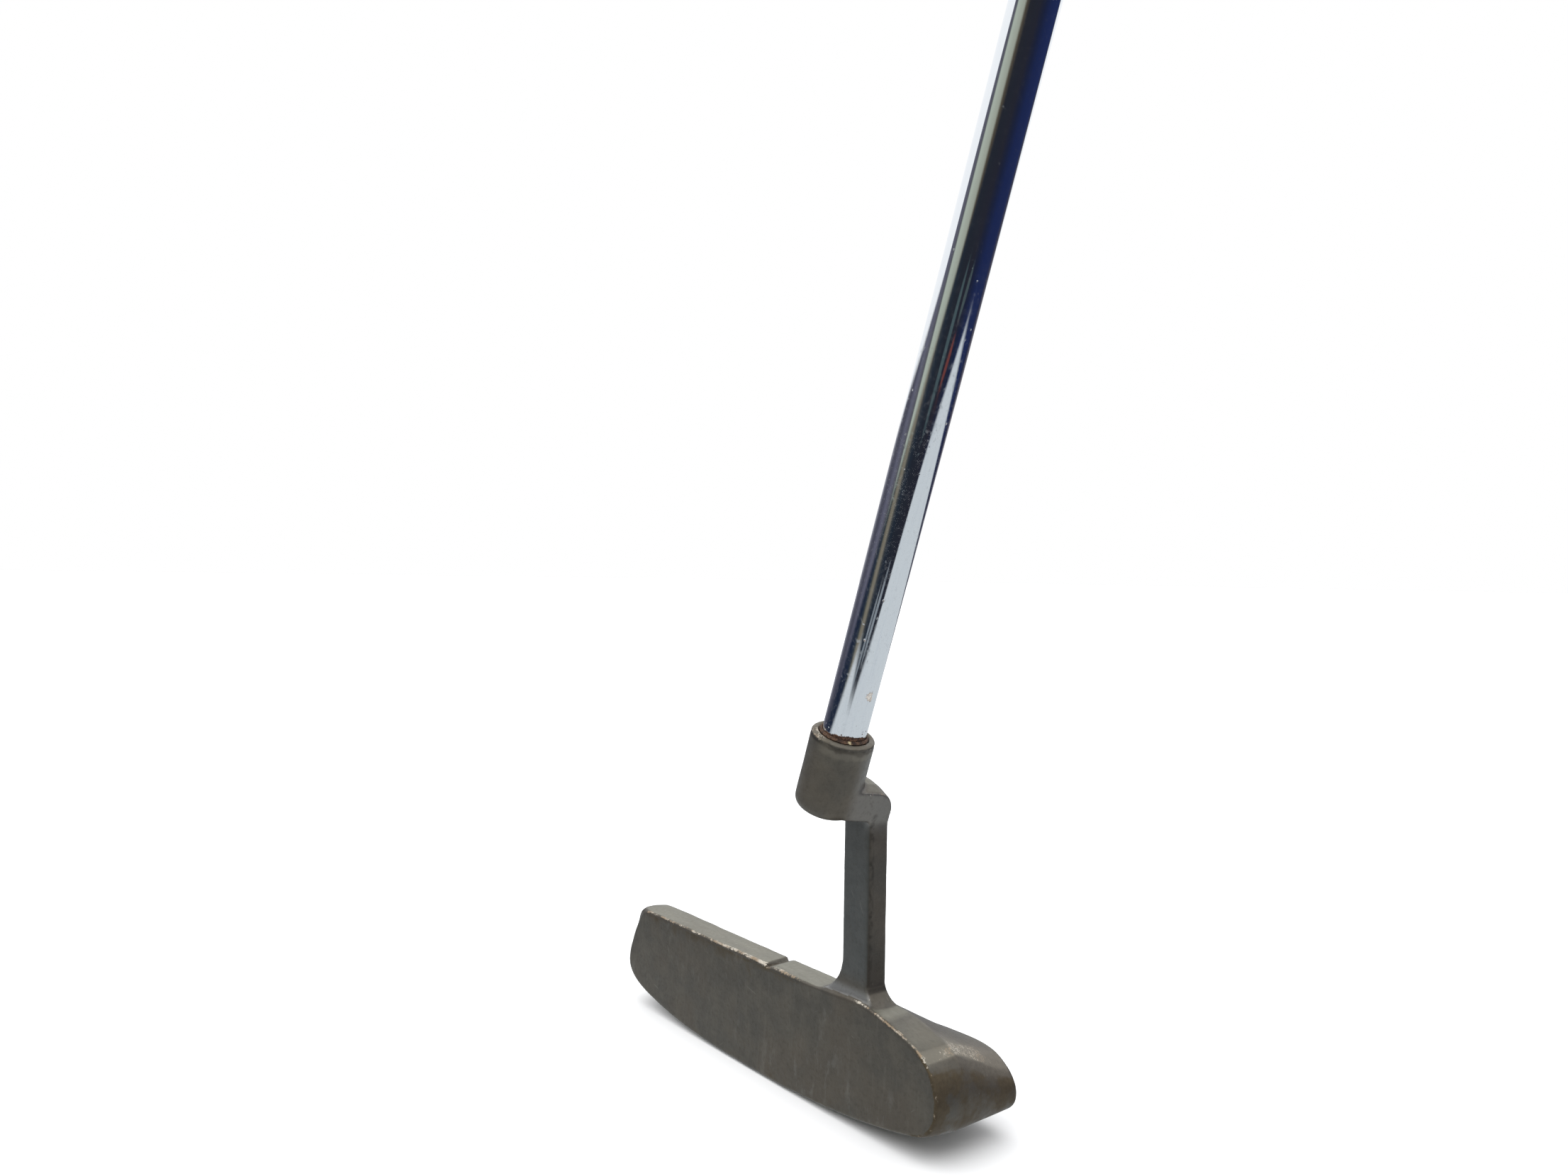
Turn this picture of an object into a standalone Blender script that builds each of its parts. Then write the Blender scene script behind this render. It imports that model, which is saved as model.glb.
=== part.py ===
"""Blade putter: a cavity-backed head with an offset neck, on a stepped steel shaft with a rubber grip.

The club stands at address. +Z is up, the strike face looks along -Y, the toe points along -X, and the
shaft leans towards +X. The origin is on the sole's flat, below the sighting notch. Lengths are in
metres. "Along the shaft" is a distance on the shaft's axis from where that axis meets the ground.
"""

import math

import bmesh
import bpy
from mathutils import Matrix, Vector
from mathutils.geometry import interpolate_bezier

MM = 0.001

# Head: the blade, its rail and the cavity behind it
RAIL_TOP = 0.026
FACE_Y = -0.010
LOFT = math.radians(3.5)
RAIL_BACK_Y = -0.0022
BACK_Y = 0.0155
EDGE_BREAK = 0.00035
REAR_RADIUS = 0.0022
SOLE_CAMBER = 0.00055
FLANGE_TOP = 0.0062
TROUGH_FLOOR = 0.0038
OUTLINE_STEPS = 3

# Strike face outline, seen from the front: (x, height) in mm, clockwise from the toe's top corner
FACE_TOP = [(-57.4, 24.4), (-54.6, 25.7), (-49, 26), (-30, 26), (-10, 26), (8, 26), (18, 26.1)]
FACE_NECK = [(26, 26.6), (32, 26.9), (37, 26.5), (43, 25.2), (49, 23.6)]
FACE_HEEL = [(53.6, 21.5), (56.2, 18.7), (57.8, 15), (58, 11.4), (56.9, 8.3), (54.6, 6.2)]
SOLE_HEEL = [(50, 4.9), (42, 3.4), (33, 2.1), (22, 1.1), (10, 0.5), (-4, 0.3)]
SOLE_TOE = [(-18, 0.5), (-30, 1.1), (-40, 2.1), (-48, 3.4), (-54.5, 4.8)]
FACE_TOE = [(-58.8, 6.3), (-61.7, 8.6), (-62.7, 11.6), (-61.6, 16.2), (-59.5, 21)]
FACE = FACE_TOP + FACE_NECK + FACE_HEEL + SOLE_HEEL + SOLE_TOE + FACE_TOE

# The same outline at the back of the rail, point for point: fuller at the toe, lower at the neck
MID_TOP = [(-61, 24.4), (-58.2, 25.75), (-51.5, 26), (-30, 26), (-10, 26), (8, 26), (18, 26)]
MID_NECK = [(26, 26), (32, 26), (37, 25.9), (43, 25.1), (49, 23.4)]
MID_HEEL = [(53.4, 21.6), (56, 18.8), (57.7, 15), (58, 11.2), (57.3, 7.9), (55, 5.7)]
MID_TOE = [(-58.8, 6.3), (-61.7, 8.6), (-62.7, 11.6), (-62.2, 16.4), (-61.4, 21)]
MID = MID_TOP + MID_NECK + MID_HEEL + SOLE_HEEL + SOLE_TOE + MID_TOE

# And at the back of the bumpers
REAR_TOP = [(-58.2, 15), (-55.6, 15.8), (-51, 16), (-33, 16), (-12, 16), (8, 16.2), (16, 16.4)]
REAR_NECK = [(22, 16.5), (28, 16.8), (34, 17.2), (41, 17.5), (46.5, 17.4)]
REAR_HEEL = [(50.6, 16.6), (54.3, 14.3), (56.4, 11.6), (56.9, 9), (56.3, 7), (54.4, 5.6)]
REAR_TOE = [(-58.4, 6.1), (-60.6, 7.7), (-61.5, 9.8), (-61.2, 11.8), (-60.1, 13.6)]
REAR = REAR_TOP + REAR_NECK + REAR_HEEL + SOLE_HEEL + SOLE_TOE + REAR_TOE

# How the rail's section changes behind the face: distance, share of the mid outline, that share at the toe
TOE_START = -0.040
RAIL_STATIONS = [(0.0012, 0.18, 0.60), (0.0030, 0.45, 0.96), (0.0052, 0.75, 1.0)]
RAIL_BACK_TOE = 0.62
BUMPER_STEP = 0.0005
BUMPER_STEP_SHARE = 0.07

# Cavity and trough, seen from above: (x, y) in mm
CAVITY = [(-34, -2.2), (25, -2.2), (29, 9), (31.5, 24), (-41, 24), (-38, 9)]
TROUGH = [(-28, -1.2), (19.5, -1.2), (20.5, 7.4), (-29, 7.4)]
CAVITY_CORNER = 0.0038
TROUGH_CORNER = 0.0022

# Sighting notch across the rail, filed a little askew
NOTCH_TOE_SIDE = 0.0006
NOTCH_HEEL_SIDE = 0.0024
NOTCH_DEPTH = 0.0009
NOTCH_SKEW = math.radians(7)
SIGHT_GROOVE_WIDTH = 0.0009
SIGHT_GROOVE_DEPTH = 0.0005

# Neck: an upright post on the rail, with flares where it joins
POST_TOE_X = 0.0260
POST_HEEL_X = 0.03465
POST_FRONT_Y = -0.00865
POST_BACK_Y = -0.0030
POST_CORNER = 0.0008
POST_TOP = 0.0680
RAIL_FALL = 0.08
POST_CORNER_STEPS = 3

# How far each side of the post's foot spreads on the rail, and how high that flare reaches
FLARE_TOE, FLARE_TOE_REACH = 0.0078, 0.0078
FLARE_HEEL, FLARE_HEEL_REACH = 0.0056, 0.0040
FLARE_FRONT, FLARE_FRONT_REACH = 0.00125, 0.0050
FLARE_BACK, FLARE_BACK_REACH = 0.0006, 0.0040
FLARE_CREASE = 0.12

# Shaft axis
LIE = math.radians(70.06)
AXIS_GROUND = Vector((0.00386, -0.01632, 0))
SHAFT_DIRECTION = Vector((math.cos(LIE), 0, math.sin(LIE)))
ACROSS = Vector((math.sin(LIE), 0, -math.cos(LIE)))

# Hosel barrel and the link that joins it to the post, along the shaft
BARREL_RADIUS = 0.00687
BARREL_BOTTOM = 0.0728
BARREL_TOP = 0.0906
BARREL_BOTTOM_ROUND = 0.0022
RIM_BEVEL = 0.0008
RIM_DROP = 0.0005
BORE_RADIUS = 0.0052
MOUTH_FLARE = 0.00025
BORE_FLOOR = 0.0752
LINK_BOTTOM_FRONT = 0.0733
LINK_TOP_FRONT = 0.0804
LINK_SLOPE = -0.16
LINK_CROWN = 0.0007
LINK_CROWN_HEEL, LINK_CROWN_HEEL_SHARE = 0.0015, 0.85
LINK_CROWN_TOE, LINK_CROWN_SIDE_SHARE = 0.0010, 0.6
LINK_ROOT_LEAD, LINK_ROOT_MIDDLE, LINK_ROOT_END = 0.0006, 0.0004, 0.0013
LINK_BACK_Y = -0.0031
LINK_BACK_ROUND = 0.0042
LINK_TOE_SIDE = -0.0025
LINK_HEEL_SIDE = 0.00678
LINK_SIDE_ROUND = 0.0005
LINK_LOWER_ROUND = 0.0026
LINK_ROOT = 0.0022

# Shaft: a parallel tip, evenly stepped to a parallel butt
TIP_RADIUS = 0.0047
BUTT_RADIUS = 0.00735
SHAFT_WALL = 0.00055
SHAFT_TIP = 0.0756
FIRST_STEP = 0.330
STEP_PITCH = 0.0255
STEP_COUNT = 11
STEP_RAMP = 0.0015
SHAFT_BUTT = 0.8862
ROUND_SEGMENTS = 32

# Adhesive, plug and tape: thin layers that keep a small clearance from their neighbours
CLEARANCE = 0.00025
LAYER = 0.0003
EPOXY_GAP = 0.00012
EPOXY_LAYER = 0.0002
EPOXY_BEAD = 0.0005
PLUG_LENGTH = 0.008

# Grip and its end cap
GRIP_MOUTH = 0.622
GRIP_BUTT = 0.8865
CLUB_LENGTH = 0.889
MOUTH_RADIUS = 0.0097
MOUTH_FLAT = 0.0090
BUTT_GRIP_RADIUS = 0.0136
BUTT_GRIP_FLAT = 0.0107
FLAT_CORNER = 0.0022
GRIP_END_ROUND = 0.0012
VENT_RADIUS = 0.0016


def clear_scene():
    for obj in list(bpy.data.objects):
        bpy.data.objects.remove(obj, do_unlink=True)


def material(name, color, roughness, metallic):
    made = bpy.data.materials.new(name)
    made.use_nodes = True
    shader = made.node_tree.nodes["Principled BSDF"]
    shader.inputs["Base Color"].default_value = (*color, 1)
    shader.inputs["Roughness"].default_value = roughness
    shader.inputs["Metallic"].default_value = metallic
    return made


def mesh_object(name, bm, surface=None):
    """An object from a bmesh, with its faces turned outwards and its round sides shaded smooth."""
    bmesh.ops.recalc_face_normals(bm, faces=bm.faces)
    mesh = bpy.data.meshes.new(name)
    bm.to_mesh(mesh)
    bm.free()
    mesh.shade_smooth()
    mesh.set_sharp_from_angle(angle=math.radians(35))
    obj = bpy.data.objects.new(name, mesh)
    bpy.context.scene.collection.objects.link(obj)
    if surface:
        mesh.materials.append(surface)
    else:
        obj.hide_render = True
        obj.display_type = "WIRE"
    return obj


def combine(obj, other, operation):
    """Adds or cuts another solid, which stays in the scene as a guide."""
    modifier = obj.modifiers.new(f"{operation.lower()} {other.name}", "BOOLEAN")
    modifier.operation = operation
    modifier.solver = "EXACT"
    modifier.object = other


def loft(name, loops, surface=None, closed=False):
    """A solid through loops of points. Its ends are capped, or joined to each other when closed."""
    bm = bmesh.new()
    rings = [[bm.verts.new(point) for point in loop] for loop in loops]
    pairs = list(zip(rings, rings[1:]))
    if closed:
        pairs.append((rings[-1], rings[0]))
    else:
        bm.faces.new(rings[0])
        bm.faces.new(rings[-1])
    for lower, upper in pairs:
        for i in range(len(lower)):
            j = (i + 1) % len(lower)
            bm.faces.new((lower[i], lower[j], upper[j], upper[i]))
    return mesh_object(name, bm, surface)


def on_axis(along, across=0.0, side=0.0):
    """A point near the shaft axis: across it in the lean's plane, and sideways along Y."""
    return AXIS_GROUND + SHAFT_DIRECTION * along + ACROSS * across + Vector((0, side, 0))


def ring(along, radius, segments=ROUND_SEGMENTS):
    angles = [2 * math.pi * i / segments for i in range(segments)]
    return [on_axis(along, radius * math.cos(a), radius * math.sin(a)) for a in angles]


def turned(name, profile, surface=None, segments=ROUND_SEGMENTS, closed=False):
    """A solid turned about the shaft axis from (along, radius) points."""
    loops = [ring(along, radius, segments) for along, radius in profile]
    return loft(name, loops, surface, closed)


def quarter(radius, steps):
    """(out, up) pairs round a quarter circle, from its side to its top."""
    angles = [math.pi / 2 * i / steps for i in range(steps + 1)]
    return [(radius * (1 - math.cos(a)), radius * math.sin(a)) for a in angles]


def smooth_outline(points):
    """A closed curve through (x, height) points, as Bezier spans whose handles follow the neighbours."""
    count = len(points)
    spots = [Vector((x * MM, z * MM)) for x, z in points]
    curve = []
    for i in range(count):
        before, here, after, beyond = (spots[(i + k) % count] for k in (-1, 0, 1, 2))
        span = (after - here).length
        leave = (after - before).normalized() * span / 3
        arrive = (beyond - here).normalized() * span / 3
        spots_on_span = interpolate_bezier(here, here + leave, after - arrive, after, OUTLINE_STEPS + 1)
        curve.extend(spots_on_span[:-1])
    return curve


def inset(outline, distance):
    """The outline moved inwards. It runs clockwise, so inwards is to the right of each step."""
    count = len(outline)
    moved = []
    for i, point in enumerate(outline):
        step = (outline[(i + 1) % count] - outline[i - 1]).normalized()
        moved.append(point + Vector((step.y, -step.x)) * distance)
    return moved


def blade():
    """The blade and its two bumpers as one loft from the face to the back, before the cavity is cut."""
    face, mid, rear = (smooth_outline(points) for points in (FACE, MID, REAR))

    def station(y, start, end, blend, inward=0.0, lofted=0.0, drop=0.0):
        mixed = [a.lerp(b, blend) for a, b in zip(start, end)]
        loop = []
        for point in inset(mixed, inward):
            height = point.y - drop * max(0.0, 1 - point.y / (RAIL_TOP / 2))
            lean = (height - RAIL_TOP) * math.tan(LOFT) * lofted
            loop.append((point.x, y + lean, height))
        return loop

    def rail_outline(blend, toe_blend):
        return [a.lerp(b, toe_blend if a.x < TOE_START else blend) for a, b in zip(face, mid)]

    loops = [station(FACE_Y, face, mid, 0, EDGE_BREAK, 1)]
    loops.append(station(FACE_Y + EDGE_BREAK, face, mid, 0, 0, 1))
    for behind, blend, toe_blend in RAIL_STATIONS:
        outline = rail_outline(blend, toe_blend)
        share = behind / (RAIL_BACK_Y - FACE_Y)
        camber = SOLE_CAMBER * math.sqrt(share)
        loops.append(station(FACE_Y + behind, outline, outline, 0, 0, 1 - share, camber))
    rail_back = rail_outline(1, RAIL_BACK_TOE)
    loops.append(station(RAIL_BACK_Y, rail_back, rear, 0, 0, 0, SOLE_CAMBER))
    last = BACK_Y - REAR_RADIUS
    even = BUMPER_STEP / (last - RAIL_BACK_Y)
    stepped = [a.lerp(b, BUMPER_STEP_SHARE if a.x < TOE_START / 2 else even) for a, b in zip(rail_back, rear)]
    loops.append(station(RAIL_BACK_Y + BUMPER_STEP, stepped, rear, 0, 0, 0, SOLE_CAMBER))
    for share in (0.2, 0.45, 0.7, 1.0):
        y = RAIL_BACK_Y + (last - RAIL_BACK_Y) * share
        loops.append(station(y, rail_back, rear, share, 0, 0, SOLE_CAMBER * (1 - 0.5 * share)))
    for inward, back in quarter(REAR_RADIUS, 4)[1:]:
        loops.append(station(last + back, rail_back, rear, 1, inward, 0, SOLE_CAMBER * 0.5))
    return loft("putter_head", loops, material("dark_bronze", (0.115, 0.108, 0.090), 0.46, 1.0))


def rounded_prism(name, plan, low, high, corner):
    """A cutter from a plan of (x, y) points in mm, with its upright and lower edges rounded."""
    bm = bmesh.new()
    floor = bm.faces.new([bm.verts.new((x * MM, y * MM, low)) for x, y in plan])
    lifted = bmesh.ops.extrude_face_region(bm, geom=[floor])["geom"]
    top = [item for item in lifted if isinstance(item, bmesh.types.BMVert)]
    bmesh.ops.translate(bm, verts=top, vec=(0, 0, high - low))
    upper = set(top)
    edges = [edge for edge in bm.edges if not all(vert in upper for vert in edge.verts)]
    bmesh.ops.bevel(bm, geom=edges, offset=corner, segments=4, affect="EDGES", profile=0.5)
    return mesh_object(name, bm)


def wedge_cutter(name, toe_side, heel_side, depth, top, start_y, end_y, skew):
    """A V-shaped cutter that runs front to back, with its upper edges above the surface that it cuts."""
    rise = 0.002
    grow = (depth + rise) / depth
    section = [(-toe_side * grow, top + rise), (0, top - depth), (heel_side * grow, top + rise)]
    pivot = Vector((0, FACE_Y, 0))
    turn = Matrix.Rotation(skew, 3, "Z")
    loops = []
    for y in (start_y, end_y):
        loops.append([pivot + turn @ (Vector((x, y, z)) - pivot) for x, z in section])
    return loft(name, loops)


def flare(height, reach, spread):
    """How far a side stands out at this height above the rail, as a quarter ellipse with a crease."""
    share = min(1.0, max(0.0, 1 - height / reach))
    rounded = 1 - math.sqrt(1 - share * share)
    return spread * (rounded * (1 - FLARE_CREASE) + share * FLARE_CREASE)


def post():
    """The upright post, as a loft of rounded rectangles that widen towards the rail."""
    heights = [-0.003, 0, 0.0004, 0.001, 0.0018, 0.0028, 0.0040, 0.0056, FLARE_TOE_REACH]
    levels = [RAIL_TOP + height for height in heights] + [POST_TOP]
    loops = []
    for level in levels:
        height = level - RAIL_TOP
        low_x = POST_TOE_X - flare(height, FLARE_TOE_REACH, FLARE_TOE)
        high_x = POST_HEEL_X + flare(height, FLARE_HEEL_REACH, FLARE_HEEL)
        low_y = POST_FRONT_Y - flare(height, FLARE_FRONT_REACH, FLARE_FRONT)
        high_y = POST_BACK_Y + flare(height, FLARE_BACK_REACH, FLARE_BACK)
        corners = [(high_x - POST_CORNER, high_y - POST_CORNER), (low_x + POST_CORNER, high_y - POST_CORNER)]
        corners += [(low_x + POST_CORNER, low_y + POST_CORNER), (high_x - POST_CORNER, low_y + POST_CORNER)]
        loop = []
        for turn, (x, y) in enumerate(corners):
            for i in range(POST_CORNER_STEPS + 1):
                angle = math.pi / 2 * (turn + i / POST_CORNER_STEPS)
                spot = Vector((x, y, level)) + POST_CORNER * Vector((math.cos(angle), math.sin(angle), 0))
                if level == POST_TOP:
                    spot.z -= (spot.x - POST_TOE_X) / math.tan(LIE)
                else:
                    spot.z -= RAIL_FALL * max(0.0, spot.x - POST_HEEL_X)
                loop.append(spot)
        loops.append(loop)
    return loft("post_guide", loops)


def rounded_corner(across, along, radius, start):
    """Four points round one corner of a section, whose outer corner is given."""
    points = []
    for i in range(4):
        angle = start + math.pi / 2 * i / 3
        points.append((across + radius * math.cos(angle), along + radius * math.sin(angle)))
    return points


def link():
    """The block between barrel and post, as sections from the barrel's middle to the post's back."""
    back = LINK_BACK_Y - AXIS_GROUND.y
    front_of_post = POST_FRONT_Y - AXIS_GROUND.y
    stations = [(0, 0, 0), (front_of_post - LINK_ROOT_LEAD, 0, 0)]
    stations.append((front_of_post + LINK_ROOT_MIDDLE, LINK_ROOT * 0.5, 0))
    stations.append((front_of_post + LINK_ROOT_END, LINK_ROOT, 0))
    for out, up in reversed(quarter(LINK_BACK_ROUND, 6)[:-1]):
        stations.append((back - out, LINK_ROOT, LINK_BACK_ROUND - up))
    middle = (LINK_TOE_SIDE + LINK_HEEL_SIDE) / 2
    edge, lower = LINK_SIDE_ROUND, LINK_LOWER_ROUND
    loops = []
    for side, root, shortfall in stations:
        low = LINK_BOTTOM_FRONT + LINK_SLOPE * side - root
        high = LINK_TOP_FRONT + LINK_SLOPE * side - shortfall
        crown = LINK_CROWN * (1 - shortfall / LINK_BACK_ROUND)
        section = rounded_corner(LINK_HEEL_SIDE - edge, high - edge, edge, 0)
        section.append((middle + LINK_CROWN_HEEL, high + crown * LINK_CROWN_HEEL_SHARE))
        section.append((middle - LINK_CROWN_TOE, high + crown))
        toe_top = high + crown * LINK_CROWN_SIDE_SHARE
        section += rounded_corner(LINK_TOE_SIDE + edge, toe_top - edge, edge, math.pi / 2)
        section += rounded_corner(LINK_TOE_SIDE + lower, low + lower, lower, math.pi)
        section += rounded_corner(LINK_HEEL_SIDE - edge, low + edge, edge, math.pi * 1.5)
        loops.append([on_axis(along, across, side) for across, along in section])
    return loft("link_guide", loops)


def barrel():
    """The hosel barrel: a round-bottomed cylinder whose upper rim is bevelled."""
    profile = []
    for out, up in reversed(quarter(BARREL_BOTTOM_ROUND, 5)):
        profile.append((BARREL_BOTTOM + BARREL_BOTTOM_ROUND - up, BARREL_RADIUS - out))
    profile.append((BARREL_TOP - RIM_DROP, BARREL_RADIUS))
    profile.append((BARREL_TOP - RIM_DROP * 0.3, BARREL_RADIUS - RIM_BEVEL * 0.5))
    profile.append((BARREL_TOP, BARREL_RADIUS - RIM_BEVEL))
    return turned("barrel_guide", profile, segments=56)


def bore():
    """The blind bore, widened at its mouth where the adhesive forms a bead."""
    mouth = BARREL_TOP - EPOXY_BEAD
    profile = [(BORE_FLOOR, BORE_RADIUS), (mouth - 0.0003, BORE_RADIUS)]
    profile.append((BARREL_TOP + 0.0001, BORE_RADIUS + MOUTH_FLARE))
    profile.append((BARREL_TOP + 0.002, BORE_RADIUS + MOUTH_FLARE))
    return turned("bore_guide", profile, segments=48)


def ground_cutter():
    """Planes the cambered sole to a small flat at ground level."""
    bm = bmesh.new()
    bmesh.ops.create_cube(bm, size=1)
    bmesh.ops.scale(bm, vec=(0.2, 0.1, 0.01), verts=bm.verts)
    bmesh.ops.translate(bm, vec=(0, 0, -0.005), verts=bm.verts)
    return mesh_object("ground_guide", bm)


def putter_head():
    head = blade()
    combine(head, rounded_prism("cavity_guide", CAVITY, FLANGE_TOP, 0.05, CAVITY_CORNER), "DIFFERENCE")
    trough = rounded_prism("trough_guide", TROUGH, TROUGH_FLOOR, 0.012, TROUGH_CORNER)
    combine(head, trough, "DIFFERENCE")
    combine(head, ground_cutter(), "DIFFERENCE")
    combine(head, post(), "UNION")
    combine(head, link(), "UNION")
    combine(head, barrel(), "UNION")
    combine(head, bore(), "DIFFERENCE")
    notch_end = RAIL_BACK_Y + 0.003
    sides = (NOTCH_TOE_SIDE, NOTCH_HEEL_SIDE, NOTCH_DEPTH)
    notch = wedge_cutter("notch_guide", *sides, RAIL_TOP, FACE_Y - 0.002, notch_end, NOTCH_SKEW)
    combine(head, notch, "DIFFERENCE")
    half = SIGHT_GROOVE_WIDTH / 2
    sides = (half, half, SIGHT_GROOVE_DEPTH)
    groove = wedge_cutter("groove_guide", *sides, FLANGE_TOP, 0.006, BACK_Y + 0.002, 0)
    combine(head, groove, "DIFFERENCE")
    return head


def shaft():
    """The stepped tube, open at both ends."""
    rise = (BUTT_RADIUS - TIP_RADIUS) / STEP_COUNT
    outer = [(SHAFT_TIP, TIP_RADIUS)]
    for step in range(STEP_COUNT):
        along = FIRST_STEP + STEP_PITCH * step
        outer.append((along, TIP_RADIUS + rise * step))
        outer.append((along + STEP_RAMP, TIP_RADIUS + rise * (step + 1)))
    outer.append((SHAFT_BUTT, BUTT_RADIUS))
    last_step = FIRST_STEP + STEP_PITCH * (STEP_COUNT - 1)
    inner = [(SHAFT_BUTT, BUTT_RADIUS - SHAFT_WALL), (last_step, BUTT_RADIUS - SHAFT_WALL)]
    inner += [(FIRST_STEP, TIP_RADIUS - SHAFT_WALL), (SHAFT_TIP, TIP_RADIUS - SHAFT_WALL)]
    steel = material("chrome_plated_steel", (0.78, 0.80, 0.82), 0.08, 1.0)
    return turned("shaft", outer + inner, steel, closed=True)


def hosel_epoxy():
    """The adhesive sleeve round the shaft tip, with a bead where it was squeezed out at the rim."""
    inside = TIP_RADIUS + EPOXY_GAP
    outside = inside + EPOXY_LAYER
    low = BORE_FLOOR + EPOXY_GAP
    top = BARREL_TOP + EPOXY_BEAD
    profile = [(low, inside), (low, outside), (BARREL_TOP - EPOXY_BEAD, outside)]
    profile += [(BARREL_TOP + EPOXY_BEAD * 0.3, outside + MOUTH_FLARE * 0.8)]
    profile += [(top, inside + EPOXY_LAYER * 0.5), (top, inside)]
    return turned("hosel_epoxy", profile, material("aged_epoxy", (0.16, 0.09, 0.045), 0.6, 0), closed=True)


def shaft_tip_plug():
    """The plug that keeps adhesive out of the tube, with bevelled ends."""
    radius = TIP_RADIUS - SHAFT_WALL - CLEARANCE
    low = SHAFT_TIP + 0.0008
    high = low + PLUG_LENGTH
    bevel = 0.0005
    profile = [(low, radius - bevel), (low + bevel, radius), (high - bevel, radius), (high, radius - bevel)]
    return turned("shaft_tip_plug", profile, material("cork", (0.46, 0.33, 0.20), 0.9, 0), segments=24)


def grip_tape():
    """The double-sided tape wrapped round the butt of the shaft."""
    inside = BUTT_RADIUS + CLEARANCE
    low = GRIP_MOUTH + 0.004
    high = SHAFT_BUTT - 0.001
    profile = [(low, inside), (low, inside + LAYER), (high, inside + LAYER), (high, inside)]
    return turned("grip_tape", profile, material("tan_tape", (0.62, 0.50, 0.33), 0.8, 0), closed=True)


def grip_section(along, radius, flat, corner=FLAT_CORNER, inward=0.0):
    """A round section with one flat that faces away from the golfer, its two corners rounded."""
    radius -= inward
    flat -= inward
    edge = math.acos((flat - corner) / (radius - corner))
    centre_across = (radius - corner) * math.cos(edge)
    centre_side = (radius - corner) * math.sin(edge)
    points = []
    for i in range(5):
        angle = edge * i / 4
        spot = (centre_across + corner * math.cos(angle), centre_side + corner * math.sin(angle))
        points.append(spot)
    for i in range(1, 28):
        angle = edge + (2 * math.pi - 2 * edge) * i / 28
        points.append((radius * math.cos(angle), radius * math.sin(angle)))
    for i in range(5):
        angle = -edge * (1 - i / 4)
        spot = (centre_across + corner * math.cos(angle), corner * math.sin(angle) - centre_side)
        points.append(spot)
    return [on_axis(along, -across, side) for across, side in points]


def grip_size(along):
    """Radius and flat distance of the grip's taper at a place along the shaft."""
    share = (along - GRIP_MOUTH) / (CLUB_LENGTH - GRIP_MOUTH)
    radius = MOUTH_RADIUS + (BUTT_GRIP_RADIUS - MOUTH_RADIUS) * share
    return radius, MOUTH_FLAT + (BUTT_GRIP_FLAT - MOUTH_FLAT) * share


def grip():
    """The tapered rubber sleeve, open right through."""
    stations = [(GRIP_MOUTH, 0.0005), (GRIP_MOUTH + 0.0006, 0)]
    stations += [(GRIP_MOUTH + (GRIP_BUTT - GRIP_MOUTH) * share, 0) for share in (0.25, 0.5, 0.75, 1)]
    loops = [grip_section(along, *grip_size(along), inward=inward) for along, inward in stations]
    sleeve = loft("grip", loops, material("black_rubber", (0.022, 0.022, 0.023), 0.72, 0))
    hole_radius = BUTT_RADIUS + 2 * CLEARANCE + LAYER
    hole = turned("grip_bore_guide", [(GRIP_MOUTH - 0.01, hole_radius), (CLUB_LENGTH, hole_radius)])
    combine(sleeve, hole, "DIFFERENCE")
    return sleeve


def grip_end_cap():
    """The cap that closes the butt, flat on top, with a vent hole through its middle."""
    low = GRIP_BUTT + CLEARANCE
    shoulder = CLUB_LENGTH - GRIP_END_ROUND
    loops = [grip_section(low, *grip_size(low))]
    for inward, up in quarter(GRIP_END_ROUND, 4):
        along = shoulder + up
        loops.append(grip_section(along, *grip_size(shoulder), inward=inward))
    cap = loft("grip_end_cap", loops, material("cap_rubber", (0.03, 0.03, 0.031), 0.6, 0))
    vent = turned("vent_guide", [(low - 0.01, VENT_RADIUS), (CLUB_LENGTH + 0.01, VENT_RADIUS)], segments=20)
    combine(cap, vent, "DIFFERENCE")
    return cap


def main():
    clear_scene()
    club = bpy.data.objects.new("putter", None)
    bpy.context.scene.collection.objects.link(club)
    builders = (putter_head, shaft, hosel_epoxy, shaft_tip_plug, grip_tape, grip, grip_end_cap)
    for build in builders:
        build().parent = club


main()
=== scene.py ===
"""Blade putter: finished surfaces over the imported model, with a studio and a camera.

The frame is the CAD model's: metres, +Z up, the strike face looks along -Y and the toe points along -X.
"Along the shaft" is a distance on the shaft's axis from where that axis meets the ground.
"""

import math

import bpy
import numpy as np
from mathutils import Matrix, Vector, noise


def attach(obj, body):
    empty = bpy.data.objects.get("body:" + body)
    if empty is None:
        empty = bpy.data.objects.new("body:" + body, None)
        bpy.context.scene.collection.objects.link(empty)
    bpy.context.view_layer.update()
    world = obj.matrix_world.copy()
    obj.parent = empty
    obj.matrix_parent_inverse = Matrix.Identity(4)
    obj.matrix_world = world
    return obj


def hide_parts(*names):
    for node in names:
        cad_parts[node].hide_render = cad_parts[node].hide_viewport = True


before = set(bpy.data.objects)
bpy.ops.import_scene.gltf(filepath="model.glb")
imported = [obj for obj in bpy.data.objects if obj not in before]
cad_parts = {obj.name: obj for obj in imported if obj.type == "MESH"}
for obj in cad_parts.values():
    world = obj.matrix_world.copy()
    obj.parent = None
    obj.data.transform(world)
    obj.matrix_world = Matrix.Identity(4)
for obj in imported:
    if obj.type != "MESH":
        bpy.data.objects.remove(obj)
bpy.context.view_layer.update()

# Shaft axis and the sizes that pieces share with the CAD model
LIE = math.radians(70.06)
AXIS_GROUND = np.array((0.00386, -0.01632, 0))
ALONG = np.array((math.cos(LIE), 0, math.sin(LIE)))
ACROSS = np.array((math.sin(LIE), 0, -math.cos(LIE)))
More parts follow.
